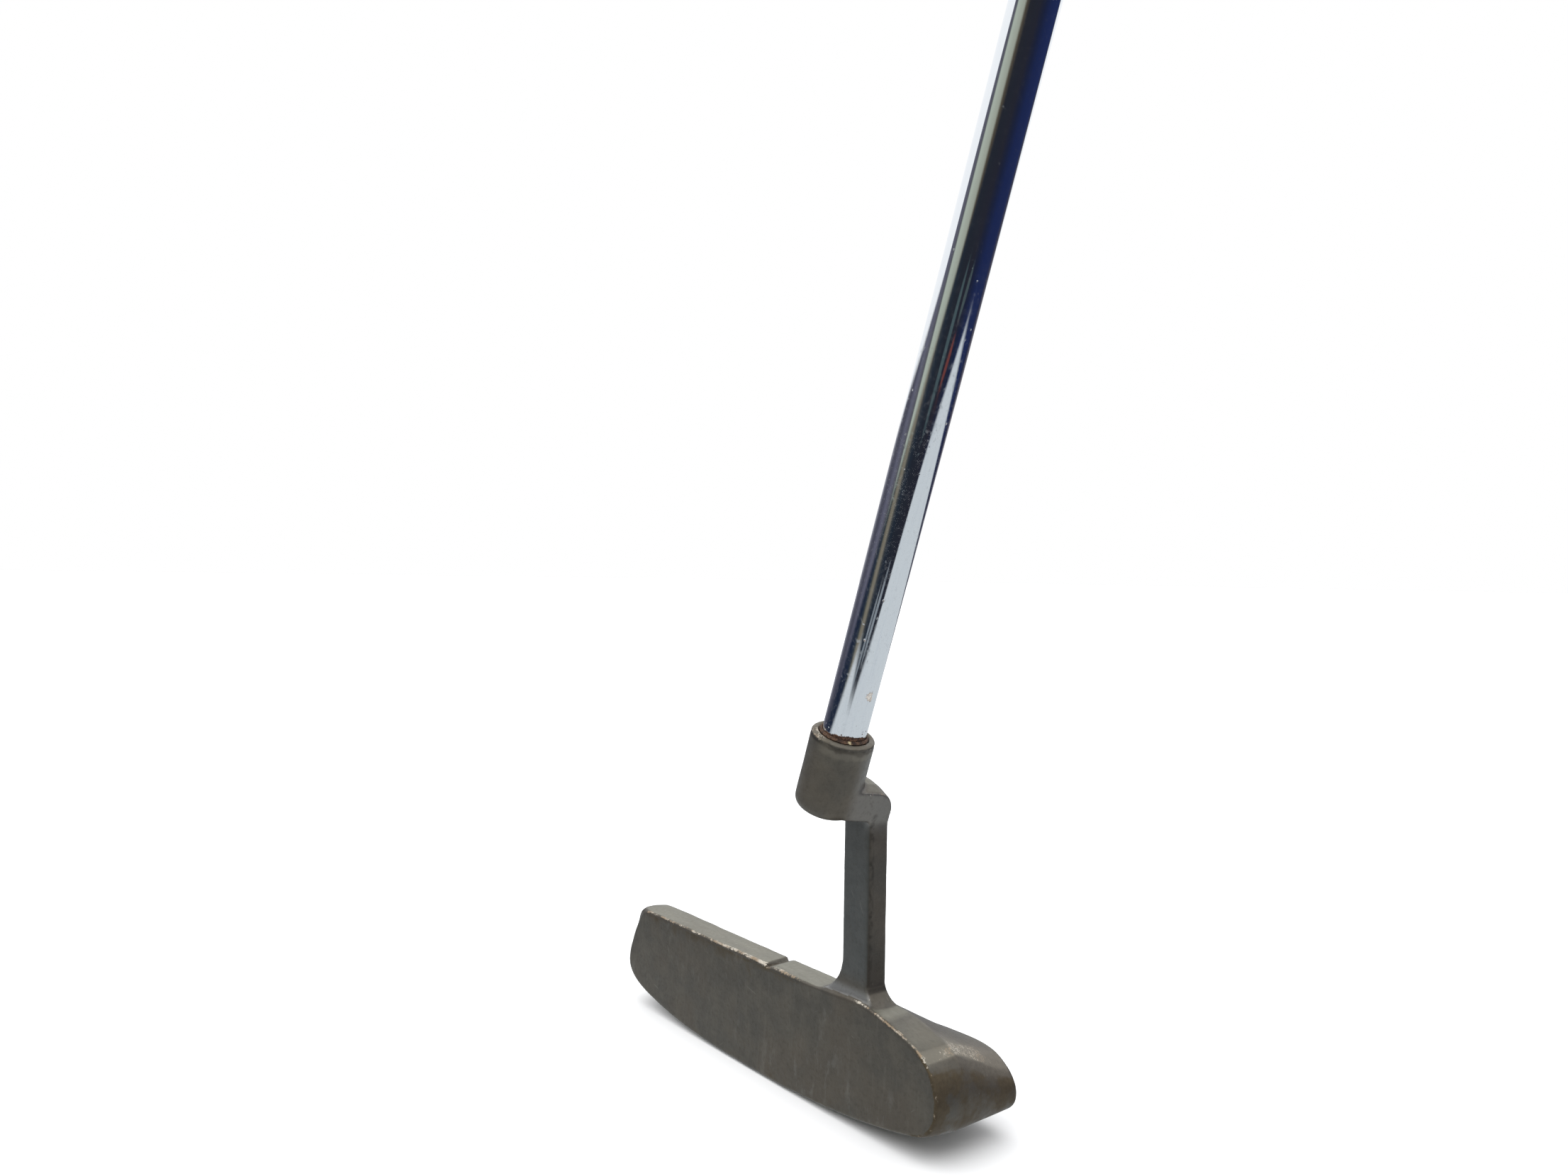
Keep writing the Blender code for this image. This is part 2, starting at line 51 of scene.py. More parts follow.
SIDE = np.array((0, 1.0, 0))
CLEARANCE = 0.00025
LAYER = 0.0003
EPOXY_GAP = 0.00012
EPOXY_LAYER = 0.0002
EPOXY_BEAD = 0.0005
EPOXY_SEGMENTS = 160

# Head
HEAD_VOXEL = 0.00028
HEAD_TRIANGLES = 195000
CAST_LUMP = 0.00004
NICK_DEPTH = 0.00012
LIP_GROOVE = 0.00006
FULL_EDGE = HEAD_VOXEL * 0.13
FULL_HOLLOW = HEAD_VOXEL * 0.12
RAIL_TOP = 0.026
RAIL_EDGE_X = (-0.054, 0.011)
NOTCH_X = (-0.0002, 0.0016)
NOTCH_Z = (RAIL_TOP - 0.0012, RAIL_TOP - 0.0004)
FACE_TOP_Y = -0.010
LOFT = math.radians(3.5)
FACE_NORMAL = np.array((0, -math.cos(LOFT), math.sin(LOFT)))
NECK_LOW = 0.030
POST_FRONT_Z = (0.033, 0.064)
POST_EDGE_Z = (NECK_LOW, 0.066)
POST_EDGE_Y = (-0.0081, -0.0074)
POST_FOOT_LINE_Z = (0.0288, 0.0294)
FLARE_TOP = 0.0277
LINK_TOP_Z = (0.068, 0.079)
LINK_SIDE_Z = (0.066, 0.079)
LINK_FRONT_EDGE_Z = (0.0685, 0.078)
BARREL_TOP = 0.0906
BORE_FLOOR = 0.0752
BORE_RADIUS = 0.0052
LIP_LINE = (BARREL_TOP - 0.00125, BARREL_TOP - 0.00085)

# Shaft
TIP_RADIUS = 0.0047
BUTT_RADIUS = 0.00735
SHAFT_WALL = 0.00055
SHAFT_TIP = 0.0756
FOOT_TOP = 0.113
FIRST_STEP = 0.330
STEP_PITCH = 0.0255
STEP_COUNT = 11
STEP_RAMP = 0.0015
SHAFT_BUTT = 0.8862
SHAFT_SEGMENTS = 128
RUST_RING = 0.0010
BLISTER_ALONG = 0.1012
BLISTER_TURN = -0.02
CHIP_TURN = math.radians(-25)

# Grip
GRIP_MOUTH = 0.622
GRIP_BUTT = 0.8865
CLUB_LENGTH = 0.889
MOUTH_RADIUS, BUTT_GRIP_RADIUS = 0.0097, 0.0136
MOUTH_FLAT, BUTT_GRIP_FLAT = 0.0090, 0.0107
FLAT_CORNER = 0.0022
GRIP_AROUND = 160
GRIP_ALONG = 590
DIMPLE_PITCH = 0.0042
DIMPLE_RADIUS = 0.0012
DIMPLE_DEPTH = 0.00035
DIMPLES_PER_ROW = 14
RIB_PITCH = 0.0030
RIB_DEPTH = 0.00022
RIB_HALF_WIDTH = 0.0040
RING_DEPTH = 0.0003
GRIP_RINGS = (GRIP_MOUTH + 0.006, GRIP_MOUTH + 0.0085, GRIP_BUTT - 0.005)
GRIP_SHADE = 0.0125

# End cap
CAP_RIM = 0.0014
CAP_ROUND_STEPS = 8
CAP_SHADE = 0.0165
VENT_RADIUS = 0.0016


def on_axis(along, across=0.0, side=0.0):
    """Points near the shaft axis, from numbers or arrays of numbers."""
    along, across, side = np.broadcast_arrays(along, across, side)
    return (AXIS_GROUND + along[..., None] * ALONG + across[..., None] * ACROSS + side[..., None] * SIDE)


def axis_coordinates(points):
    """How far points lie along the shaft axis, across it and to its side."""
    offset = points - AXIS_GROUND
    return offset @ ALONG, offset @ ACROSS, offset @ SIDE


def smoothstep(value, low, high):
    share = np.clip((value - low) / (high - low), 0, 1)
    return share * share * (3 - 2 * share)


def between(value, low, high, soft):
    """1 inside a range, falling to 0 within a soft distance outside it."""
    return smoothstep(value, low - soft, low) * (1 - smoothstep(value, high, high + soft))


def fractal(points, size, octaves=3, seed=0.0):
    """Smooth noise from about -1 to 1, with features of this size in metres."""
    shift = Vector((seed, seed * 1.7, -seed))
    scaled = points / size
    return np.array([noise.fractal(Vector(p) + shift, 0.6, 2.0, octaves) for p in scaled])


# --- Shader nodes -----------------------------------------------------------------------------------


class Graph:
    """Builds one node tree with a call for each node."""

    def __init__(self, tree):
        self.tree = tree
        tree.nodes.clear()

    def node(self, kind, inputs=(), **settings):
        made = self.tree.nodes.new(kind)
        for name, value in settings.items():
            setattr(made, name, value)
        for name, value in dict(inputs).items():
            self.set(made.inputs[name], value)
        return made

    def set(self, socket, value):
        if isinstance(value, bpy.types.NodeSocket):
            self.tree.links.new(value, socket)
        else:
            socket.default_value = value

    def math(self, operation, first, second=0.0, clamp=False):
        made = self.node("ShaderNodeMath", operation=operation, use_clamp=clamp)
        self.set(made.inputs[0], first)
        self.set(made.inputs[1], second)
        return made.outputs[0]

    def add(self, first, second):
        return self.math("ADD", first, second)

    def times(self, first, second):
        return self.math("MULTIPLY", first, second)

    def swing(self, value, reach):
        """A value from 0 to 1, moved to swing round 0 over this reach."""
        return self.times(self.add(value, -0.5), reach)

    def step(self, value, low, high, to_low=0.0, to_high=1.0):
        """A smooth step of a value between two limits."""
        made = self.node("ShaderNodeMapRange", interpolation_type="SMOOTHSTEP")
        for name, number in zip(("Value", "From Min", "From Max", "To Min", "To Max"),
                                (value, low, high, to_low, to_high)):
            self.set(made.inputs[name], number)
        return made.outputs["Result"]

    def mix(self, factor, first, second):
        made = self.node("ShaderNodeMix", data_type="RGBA", clamp_factor=True)
        self.set(made.inputs["Factor"], factor)
        self.set(made.inputs["A"], first if isinstance(first, bpy.types.NodeSocket) else (*first, 1))
        self.set(made.inputs["B"], second if isinstance(second, bpy.types.NodeSocket) else (*second, 1))
        return made.outputs["Result"]

    def blend(self, factor, first, second):
        """A number between two others."""
        made = self.node("ShaderNodeMix", data_type="FLOAT", clamp_factor=True)
        self.set(made.inputs["Factor"], factor)
        self.set(made.inputs["A"], first)
        self.set(made.inputs["B"], second)
        return made.outputs["Result"]

    def attribute(self, name):
        return self.node("ShaderNodeAttribute", attribute_name=name).outputs["Fac"]

    def position(self):
        return self.node("ShaderNodeTexCoord").outputs["Object"]

    def turned(self, rotation=(0, 0, 0), scale=(1, 1, 1)):
        """Object coordinates, turned and then stretched, so that a texture runs in a chosen direction."""
        turn = self.node("ShaderNodeMapping", {"Vector": self.position(), "Rotation": rotation})
        stretch = self.node("ShaderNodeMapping", {"Vector": turn.outputs[0], "Scale": scale})
        return stretch.outputs[0]

    def noise(self, size, detail=2.0, rough=0.5, vector=None, distortion=0.0):
        """Noise from 0 to 1 with features of this size in metres."""
        made = self.node("ShaderNodeTexNoise", {
            "Vector": vector or self.position(), "Scale": 1 / size, "Detail": detail,
            "Roughness": rough, "Distortion": distortion})
        return made.outputs["Fac"]

    def cells(self, size, vector=None):
        """Distance to the nearest of scattered cell centres, from 0 up, with cells of this size in metres."""
        made = self.node("ShaderNodeTexVoronoi", {
            "Vector": vector or self.position(), "Scale": 1 / size}, feature="F1")
        return made.outputs["Distance"]

    def ramp(self, value, stops, interpolation="LINEAR"):
        made = self.node("ShaderNodeValToRGB", {"Fac": value})
        made.color_ramp.interpolation = interpolation
        elements = made.color_ramp.elements
        while len(elements) > 1:
            elements.remove(elements[-1])
        elements[0].position = stops[0][0]
        elements[0].color = (*stops[0][1], 1)
        for place, color in stops[1:]:
            elements.new(place).color = (*color, 1)
        return made.outputs["Color"]

    def bump(self, height, depth, below=None):
        """A normal from a height of 0 to 1 that stands for this depth in metres."""
        made = self.node("ShaderNodeBump", {"Height": height, "Distance": depth, "Strength": 1.0})
        if below is not None:
            self.set(made.inputs["Normal"], below)
        return made.outputs["Normal"]

    def surface(self, **sockets):
        shader = self.node("ShaderNodeBsdfPrincipled")
        for name, value in sockets.items():
            if isinstance(value, tuple):
                value = (*value, 1)
            self.set(shader.inputs[name.replace("_", " ").title()], value)
        output = self.node("ShaderNodeOutputMaterial")
        self.tree.links.new(shader.outputs[0], output.inputs["Surface"])
        return shader


def material(name):
    made = bpy.data.materials.new(name)
    made.use_nodes = True
    return made, Graph(made.node_tree)


# --- Materials --------------------------------------------------------------------------------------


def aged_bronze():
    """Dark patina over bronze, brushed on the face, worn bright where edges have met other clubs, with
    painted shade and painted light in places.
    """
    made, g = material("aged_bronze")
    places = ("wear", "painted_shade", "rust", "face", "polish_and_top_light", "rubbed_and_highlit", "painted_light", "post_front_shade")
    wear, painted_shade, rust, face, polish_and_top_light, rubbed_and_highlit, painted_light, post_front_shade = [g.attribute(name) for name in places]

    patina = ((0.098, 0.091, 0.077), (0.122, 0.111, 0.091))
    patina_brown, patina_grain = (0.124, 0.104, 0.080), (0.066, 0.060, 0.050)
    post_front_shade_grey = ((0.070, 0.077, 0.078), (0.094, 0.100, 0.099))
    lit_pale_grey, smudge_grey = (0.270, 0.270, 0.262), (0.24, 0.23, 0.21)
    rust_brown = ((0.050, 0.034, 0.018), (0.128, 0.098, 0.056))
    painted_shading = (0.022, 0.019, 0.016)
    brushed_metal, scratched_metal = (0.24, 0.215, 0.18), (0.34, 0.31, 0.26)
    polished_and_lit, rubbed_and_lit_tan = (0.285, 0.278, 0.224), (0.25, 0.225, 0.18)
    bare_bronze = ((0.38, 0.29, 0.20), (0.70, 0.64, 0.54))

    mottle = g.noise(0.0045, 4, 0.6)
    broad = g.noise(0.016, 3, 0.5)
    grain = g.noise(0.0009, 3, 0.6)
    base = g.mix(g.step(mottle, 0.36, 0.68), *patina)
    base = g.mix(g.times(g.step(broad, 0.40, 0.68), 0.6), base, patina_brown)
    # Painted shade: the post's front face darker and bluish grey
    base = g.mix(g.times(post_front_shade, 0.8), base, g.mix(mottle, *post_front_shade_grey))
    # Painted light: pale grey where the flare and the link's heel side catch the light
    base = g.mix(g.times(painted_light, 0.92), base, lit_pale_grey)
    base = g.mix(g.times(g.step(grain, 0.5, 0.75), 0.3), base, patina_grain)
    stain = g.step(g.add(rust, g.swing(mottle, 1.1)), 0.30, 0.80)
    base = g.mix(g.times(stain, 0.85), base, g.mix(grain, *rust_brown))
    # Painted shade: hollows, the groove under the barrel's lip, the notch's wall and the post's heel side
    # darkened
    base = g.mix(g.times(painted_shade, 0.8), base, painted_shading)

    brushed = g.noise(0.0008, 4, 0.7, g.turned(scale=(1, 1, 0.07)))
    marks = g.times(g.step(brushed, 0.52, 0.74), g.add(g.times(face, 0.11), 0.03))
    base = g.mix(marks, base, brushed_metal)

    scratches = 0.0
    for turn, limit in (((0, 0.5, 0.2), 0.765), ((0.2, -0.9, 0.1), 0.77), ((0.1, 1.35, 0.4), 0.775)):
        streak = g.noise(0.0011, 1, 0.5, g.turned(turn, (1, 1, 0.11)))
        scratches = g.add(scratches, g.step(streak, limit, limit + 0.03))
    scratches = g.math("MINIMUM", scratches, 1.0)
    base = g.mix(g.times(scratches, 0.11), base, scratched_metal)

    smudge = g.step(g.noise(0.0030, 5, 0.7, g.turned(scale=(1, 1, 0.45))), 0.53, 0.66)
    smudge = g.times(smudge, g.step(g.noise(0.014, 2, 0.5), 0.48, 0.62))
    base = g.mix(g.times(g.times(smudge, face), 0.26), base, smudge_grey)

    streaky = g.noise(0.0022, 4, 0.6, g.turned(scale=(0.16, 1, 1)))
    # Up-facing tops lighter: polish, and painted light from above
    base = g.mix(g.times(polish_and_top_light, g.step(streaky, 0.30, 0.75, 0.50, 0.72)), base, polished_and_lit)
    # The heel's crest: rubbing with a painted highlight; the barrel's end face and under its lip: rubbing
    scuffed_and_highlit = g.step(g.add(rubbed_and_highlit, g.swing(g.noise(0.00050, 4, 0.8), 2.2)), 0.92, 1.25)
    base = g.mix(g.times(rubbed_and_highlit, 0.55), base, rubbed_and_lit_tan)
    ragged = g.add(wear, g.swing(g.noise(0.0007, 4, 0.75), 1.9))
    worn = g.math("MAXIMUM", g.step(ragged, 0.44, 0.68), g.times(scuffed_and_highlit, 0.72))
    base = g.mix(worn, base, g.mix(g.step(mottle, 0.40, 0.60), *bare_bronze))

    rough = g.add(0.43, g.swing(grain, 0.28))
    rough = g.blend(stain, rough, 0.55)
    rough = g.blend(g.math("MAXIMUM", worn, g.times(scratches, 0.5)), rough, 0.28)

    relief = g.bump(grain, 0.00005)
    relief = g.bump(brushed, 0.00003, relief)
    relief = g.bump(g.noise(0.0035, 3, 0.5), 0.00010, relief)
    relief = g.bump(g.math("SUBTRACT", 1.0, scratches), 0.000015, relief)
    g.surface(base_color=base, metallic=g.blend(worn, 0.70, 0.95), roughness=rough, normal=relief)
    return made


def chrome():
    """Bright plate with fine pits and scratches, and rust that has crept up from the hosel."""
    made, g = material("chrome_plate")
    rust, pitted, foot, blister = [g.attribute(name) for name in ("rust", "pitted", "foot", "blister")]
    haze = g.noise(0.006, 4, 0.6)
    fine = g.noise(0.0006, 3, 0.7)

    plate = ((0.80, 0.83, 0.86), (0.86, 0.885, 0.90))
    dust_grey, drawn_blue = (0.62, 0.64, 0.66), (0.60, 0.65, 0.74)
    flake_brown = ((0.40, 0.34, 0.29), (0.70, 0.66, 0.60))
    rust_brown = ((0.035, 0.016, 0.010), (0.15, 0.075, 0.040))

    rust_edge = g.step(g.add(rust, g.swing(g.noise(0.0014, 4, 0.7), 1.2)), 0.50, 0.56)
    pit_size = g.cells(0.0021, g.turned(scale=(1, 1, 0.7)))
    pit_here = g.step(g.noise(0.004, 2, 0.5), 0.50, 0.62)
    pits = g.times(g.math("SUBTRACT", 1.0, g.step(pit_size, 0.045, 0.12)), g.times(pit_here, pitted))
    small = g.math("SUBTRACT", 1.0, g.step(g.cells(0.0011), 0.10, 0.17))
    foot_here = g.step(g.add(g.noise(0.0022, 2, 0.5), g.times(foot, 0.28)), 0.70, 0.76)
    pits = g.math("MAXIMUM", pits, g.times(small, foot_here))
    dark = g.math("MAXIMUM", pits, rust_edge)

    base = g.mix(haze, *plate)
    dusty = g.times(g.step(g.noise(0.0008, 4, 0.75), 0.48, 0.72), g.add(g.times(pitted, 0.9), 0.1))
    base = g.mix(g.times(dusty, 0.3), base, dust_grey)
    drawn = g.noise(0.0007, 3, 0.6, g.turned((0, LIE - math.pi / 2, 0), (1, 1, 0.05)))
    base = g.mix(g.times(g.times(g.step(drawn, 0.50, 0.72), pitted), 0.22), base, drawn_blue)
    flake = g.step(g.add(blister, g.swing(g.noise(0.0007, 3, 0.7), 2.6)), 0.66, 0.78)
    base = g.mix(flake, base, g.mix(g.step(fine, 0.40, 0.60), *flake_brown))
    base = g.mix(dark, base, g.mix(g.step(fine, 0.42, 0.66), *rust_brown))

    hairlines = g.step(g.noise(0.0008, 2, 0.5, g.turned((0.1, 0.35, 0.3), (1, 1, 0.04))), 0.68, 0.75)
    cloudy = g.times(g.step(g.noise(0.0011, 4, 0.7), 0.52, 0.70), g.step(g.noise(0.009, 2, 0.5), 0.35, 0.65))
    rough = g.add(0.035, g.times(g.step(haze, 0.45, 0.75), 0.07))
    rough = g.add(rough, g.times(g.times(cloudy, pitted), 0.26))
    rough = g.add(rough, g.times(g.times(hairlines, pitted), 0.18))
    rough = g.blend(flake, rough, 0.5)
    rough = g.blend(dark, rough, 0.75)
    relief = g.bump(g.math("SUBTRACT", 1.0, pits), 0.00008)
    relief = g.bump(g.times(rust_edge, fine), 0.00015, relief)
    relief = g.bump(flake, 0.00006, relief)
    tarnish = g.math("MAXIMUM", dark, g.math("MAXIMUM", g.times(flake, 0.7), g.times(dusty, 0.055)))
    metal = g.math("SUBTRACT", 1.0, g.times(tarnish, 0.85))
    g.surface(base_color=base, metallic=metal, roughness=rough, normal=relief)
    return made


def old_epoxy():
    """Adhesive browned by rust, with one clean yellow chip."""
    made, g = material("old_epoxy")
    chip = g.attribute("chip")
    mottle = g.noise(0.0009, 4, 0.65)
    base = g.mix(g.step(mottle, 0.4, 0.62), (0.028, 0.015, 0.009), (0.10, 0.052, 0.028))
    base = g.mix(g.times(chip, g.step(mottle, 0.35, 0.55)), base, (0.52, 0.44, 0.26))
    relief = g.bump(g.noise(0.0004, 3, 0.6), 0.00012)
    g.surface(base_color=base, roughness=g.blend(chip, 0.75, 0.6), normal=relief)
    return made


def rubber(name, shade):
    """Matt moulded rubber: painted shade in its hollows, a little dusty and smoother on its high spots."""
    made, g = material(name)
    recess_shade = g.attribute("recess_shade")
    dust = g.noise(0.007, 5, 0.7)
    skin = g.noise(0.00022, 3, 0.7)
    dark = tuple(shade * k for k in (0.85, 0.85, 0.88))
    pale = tuple(shade * k for k in (1.25, 1.24, 1.22))
    base = g.mix(g.step(dust, 0.40, 0.75), dark, pale)
    # Painted shade in the dimples, ribs, end rings, the cap's groove and its vent
    base = g.mix(g.times(recess_shade, 0.85), base, tuple(shade * k for k in (0.16, 0.16, 0.17)))
    rough = g.add(g.blend(recess_shade, 0.46, 0.75), g.times(skin, 0.20))
    g.surface(base_color=base, roughness=rough, normal=g.bump(skin, 0.00004))
    return made


def cork():
    made, g = material("cork")
    cell = g.cells(0.0011)
    base = g.mix(g.step(cell, 0.2, 0.75), (0.52, 0.36, 0.20), (0.24, 0.14, 0.065))
    g.surface(base_color=base, roughness=g.add(0.75, g.times(cell, 0.2)), normal=g.bump(cell, 0.0001))
    return made


def paper_tape():
    """Creped tape: fine ridges across its length."""
    made, g = material("paper_tape")
    crepe = g.noise(0.0005, 3, 0.6, g.turned((0, LIE - math.pi / 2, 0), (0.25, 0.25, 1)))
    base = g.mix(crepe, (0.66, 0.52, 0.33), (0.50, 0.37, 0.21))
    g.surface(base_color=base, roughness=g.add(0.68, g.times(crepe, 0.2)), normal=g.bump(crepe, 0.00012))
    return made


# --- Mesh helpers -----------------------------------------------------------------------------------


class Surface:
    """A mesh's points and edges as arrays, with the smoothing that works on them."""

    def __init__(self, mesh):
        self.mesh = mesh
        count = len(mesh.vertices)
        self.points = np.empty(count * 3)
        mesh.vertices.foreach_get("co", self.points)
        self.points = self.points.reshape(-1, 3)
        edges = np.empty(len(mesh.edges) * 2, np.int64)
        mesh.edges.foreach_get("vertices", edges)
        edges = edges.reshape(-1, 2)
        self.here = np.concatenate((edges[:, 0], edges[:, 1]))
        self.there = np.concatenate((edges[:, 1], edges[:, 0]))
        self.valence = np.maximum(np.bincount(self.here, minlength=count), 1)

    def average(self, values):
        """Each point's mean over its neighbours."""
        count = len(self.valence)
        if values.ndim == 1:
            return np.bincount(self.here, values[self.there], count) / self.valence
        columns = [np.bincount(self.here, column[self.there], count) for column in values.T]
        return np.stack(columns, 1) / self.valence[:, None]

    def spread(self, values, rounds):
        for _ in range(rounds):
            values = 0.5 * values + 0.5 * self.average(values)
        return values

    def smooth(self, rounds, weight=1.0):
        """Plain smoothing, stronger where the weight is."""
        weight = np.broadcast_to(weight, self.valence.shape)[:, None] * 0.5
        for _ in range(rounds):
            self.points = self.points + weight * (self.average(self.points) - self.points)

    def store(self):
        self.mesh.vertices.foreach_set("co", self.points.astype(np.float32).ravel())
        self.mesh.update()

    def normals(self):
        self.store()
        normals = np.empty(len(self.mesh.vertices) * 3, np.float32)
        self.mesh.vertex_normals.foreach_get("vector", normals)
        return normals.reshape(-1, 3).astype(float)

    def bend(self):
        """How sharply the surface turns at each point: above 0 on an outer edge, below 0 in a corner."""
        inward = self.points - self.average(self.points)
        return (inward * self.normals()).sum(1)


def write_attribute(mesh, name, values):
    layer = mesh.attributes.new(name, "FLOAT", "POINT")
    layer.data.foreach_set("value", np.clip(values, 0, 1).astype(np.float32))


def show(name, mesh, surface, slot, *nodes):
    """Adds a finished piece to the scene in place of CAD nodes."""
    mesh.materials.clear()
    mesh.materials.append(surface)
    obj = bpy.data.objects.new(name, mesh)
    bpy.context.scene.collection.objects.link(obj)
    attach(obj, "root")
    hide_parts(*nodes)
    return obj


def grid_mesh(name, points, close_along=False):
    """A mesh over rows of points, each row a closed loop. Its ends are capped unless they are joined."""
    rows, around = points.shape[:2]
    index = np.arange(rows * around).reshape(rows, around)
    pairs = [(i, (i + 1) % rows) for i in range(rows if close_along else rows - 1)]
    faces = []
    for low, high in pairs:
        a, b = index[low], index[high]
        faces += np.stack((a, np.roll(a, -1), np.roll(b, -1), b), 1).tolist()
    if not close_along:
        faces += [index[0, ::-1].tolist(), index[-1].tolist()]
    mesh = bpy.data.meshes.new(name)
    mesh.from_pydata(points.reshape(-1, 3).tolist(), [], faces)
    mesh.shade_smooth()
    return mesh


def turned_mesh(name, profile, segments, ripple=None):
    """A closed tube turned about the shaft axis from an (along, radius) profile."""
    profile = np.array(profile)
    angle = np.arange(segments) * 2 * math.pi / segments
    along = np.repeat(profile[:, :1], segments, 1)
    radius = np.repeat(profile[:, 1:], segments, 1)
    if ripple is not None:
        along, radius = ripple(along, radius, angle)
    points = on_axis(along, radius * np.cos(angle), radius * np.sin(angle))
    return grid_mesh(name, points, close_along=True)


# --- Pieces -----------------------------------------------------------------------------------------


def remeshed(node, voxel):
    """An even, fine copy of a CAD node's mesh."""
    rough = bpy.data.objects.new("rough_copy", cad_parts[node].data.copy())
    bpy.context.scene.collection.objects.link(rough)
    remesh = rough.modifiers.new("even", "REMESH")
    remesh.mode = "VOXEL"
    remesh.voxel_size = voxel
    bpy.context.view_layer.update()
    graph = bpy.context.evaluated_depsgraph_get()
    mesh = bpy.data.meshes.new_from_object(rough.evaluated_get(graph))
    bpy.data.objects.remove(rough)
    return mesh


def thinned(mesh, triangles):
    """The mesh with its flat stretches simplified."""
    dense = bpy.data.objects.new("dense_copy", mesh)
    bpy.context.scene.collection.objects.link(dense)
    reduce = dense.modifiers.new("thin", "DECIMATE")
    reduce.ratio = min(1.0, triangles / (2 * len(mesh.polygons)))
    bpy.context.view_layer.update()
    graph = bpy.context.evaluated_depsgraph_get()
    result = bpy.data.meshes.new_from_object(dense.evaluated_get(graph))
    bpy.data.objects.remove(dense)
    return result


# The head's zones are limits in metres, or in radians for a turn, and a between() ends with its fade.


class HeadPlaces:
    """Where each point of the head lies: its coordinates, and its place about the shaft and the face."""

    def __init__(self, points):
        self.x, self.y, self.z = points.T
        self.along, self.across, self.side = axis_coordinates(points)
        self.from_axis = np.hypot(self.across, self.side)
        self.turn = np.arctan2(self.side, self.across)
        self.behind = self.y - FACE_TOP_Y - (self.z - RAIL_TOP) * math.tan(LOFT)
        near_rail_top = smoothstep(self.z, RAIL_TOP - 0.003, RAIL_TOP - 0.001)
        self.along_rail = between(self.x, *RAIL_EDGE_X, 0.005) * near_rail_top
        self.on_barrel_wall = self.from_axis > BORE_RADIUS + 0.001


def soften_corners(skin, at):
    """Rounds the casting's inner corners, fully about the link and a little at the post's foot."""
    hollow = np.clip(-skin.bend() / FULL_HOLLOW, 0, 1)
    below_rim = 1 - smoothstep(at.along, BARREL_TOP - 0.004, BARREL_TOP - 0.002)
    at_link = smoothstep(at.z, 0.056, 0.060) * below_rim
    fillet = np.clip(skin.spread(hollow, 8) * 3, 0, 1) * at_link
    at_foot = between(at.z, RAIL_TOP, 0.040, 0.005) * smoothstep(at.x, 0.010, 0.016)
    fillet = np.maximum(fillet, np.clip(skin.spread(hollow, 5) * 2, 0, 1) * at_foot * 0.4)
    skin.smooth(26, skin.spread(fillet, 5))


def exposure(at, struck, broken):
    """How open each point is to rubbing by other clubs and the ground."""
    in_front = 1 - smoothstep(at.behind, 0.0012, 0.0030)
    exposed = 0.30 + in_front * struck * 0.7
    exposed = np.where(at.z > NECK_LOW, 0.34, exposed)
    on_link_top = between(at.z, *LINK_FRONT_EDGE_Z, 0.001) * (at.x > 0.026) * (at.y < -0.004)
    exposed = np.where(on_link_top, 0.9, exposed)
    at_rim = smoothstep(at.along, BARREL_TOP - 0.0016, BARREL_TOP - 0.0010)
    worn_sides = np.maximum(between(at.turn, -2.05, -1.35, 0.3), between(at.turn, 0.25, 0.45, 0.2) * 0.6)
    return np.where(at_rim > 0.5, 0.30 + 0.9 * worn_sides, exposed) * (0.55 + 0.45 * broken)


def head_wear(skin, at, edge, exposed, struck, broken, up):
    """Metal worn bright: on edges, and in a broken line along the rail's front edge and round the heel."""
    wear = np.clip(skin.spread(edge, 2) * 1.25, 0, 1) * exposed
    reach = 0.0003 + 0.0005 * between(at.x, -0.012, 0.024, 0.010)
    line = between(at.behind, -0.0002, reach, 0.0005) * smoothstep(up, 0.25, 0.6)
    line = line * (at.z < RAIL_TOP + 0.001)
    chipped = smoothstep(fractal(skin.points, 0.0016, 3, 2.9), -0.50, 0.30)
    return np.maximum(wear, line * struck * (0.50 + 0.28 * broken)) * (0.76 + 0.24 * chipped)


def roughen(skin, at, edge, exposed, face, lip_line, normals):
    """Cast lumps, nicks on worn edges and the groove under the barrel's lip, inside the CAD model's box."""
    dents = fractal(skin.points, 0.0011, 3, 3.1)
    lumps = (1 - face) * fractal(skin.points, 0.006, 2, 9.7)
    nicks = smoothstep(dents, 0.20, 0.70) * np.clip(skin.spread(edge, 2) * 1.4, 0, 1) * exposed
    in_bore = (at.from_axis < BORE_RADIUS + 0.0004) & (at.along > BORE_FLOOR - 0.0003)
    free = np.where(in_bore | (at.z < 0.0004), 0, 1)
    shift = (lumps * CAST_LUMP - nicks * NICK_DEPTH - lip_line * LIP_GROOVE) * free
    solid = Surface(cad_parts["putter_head"].data).points
    skin.points = np.clip(skin.points + normals * shift[:, None], solid.min(0), solid.max(0))
    skin.store()


def in_notch(at, face):
    """The alignment notch across the rail's top."""
    return between(at.x, *NOTCH_X, 0.0008) * between(at.z, *NOTCH_Z, 0.0002) * (1 - face)


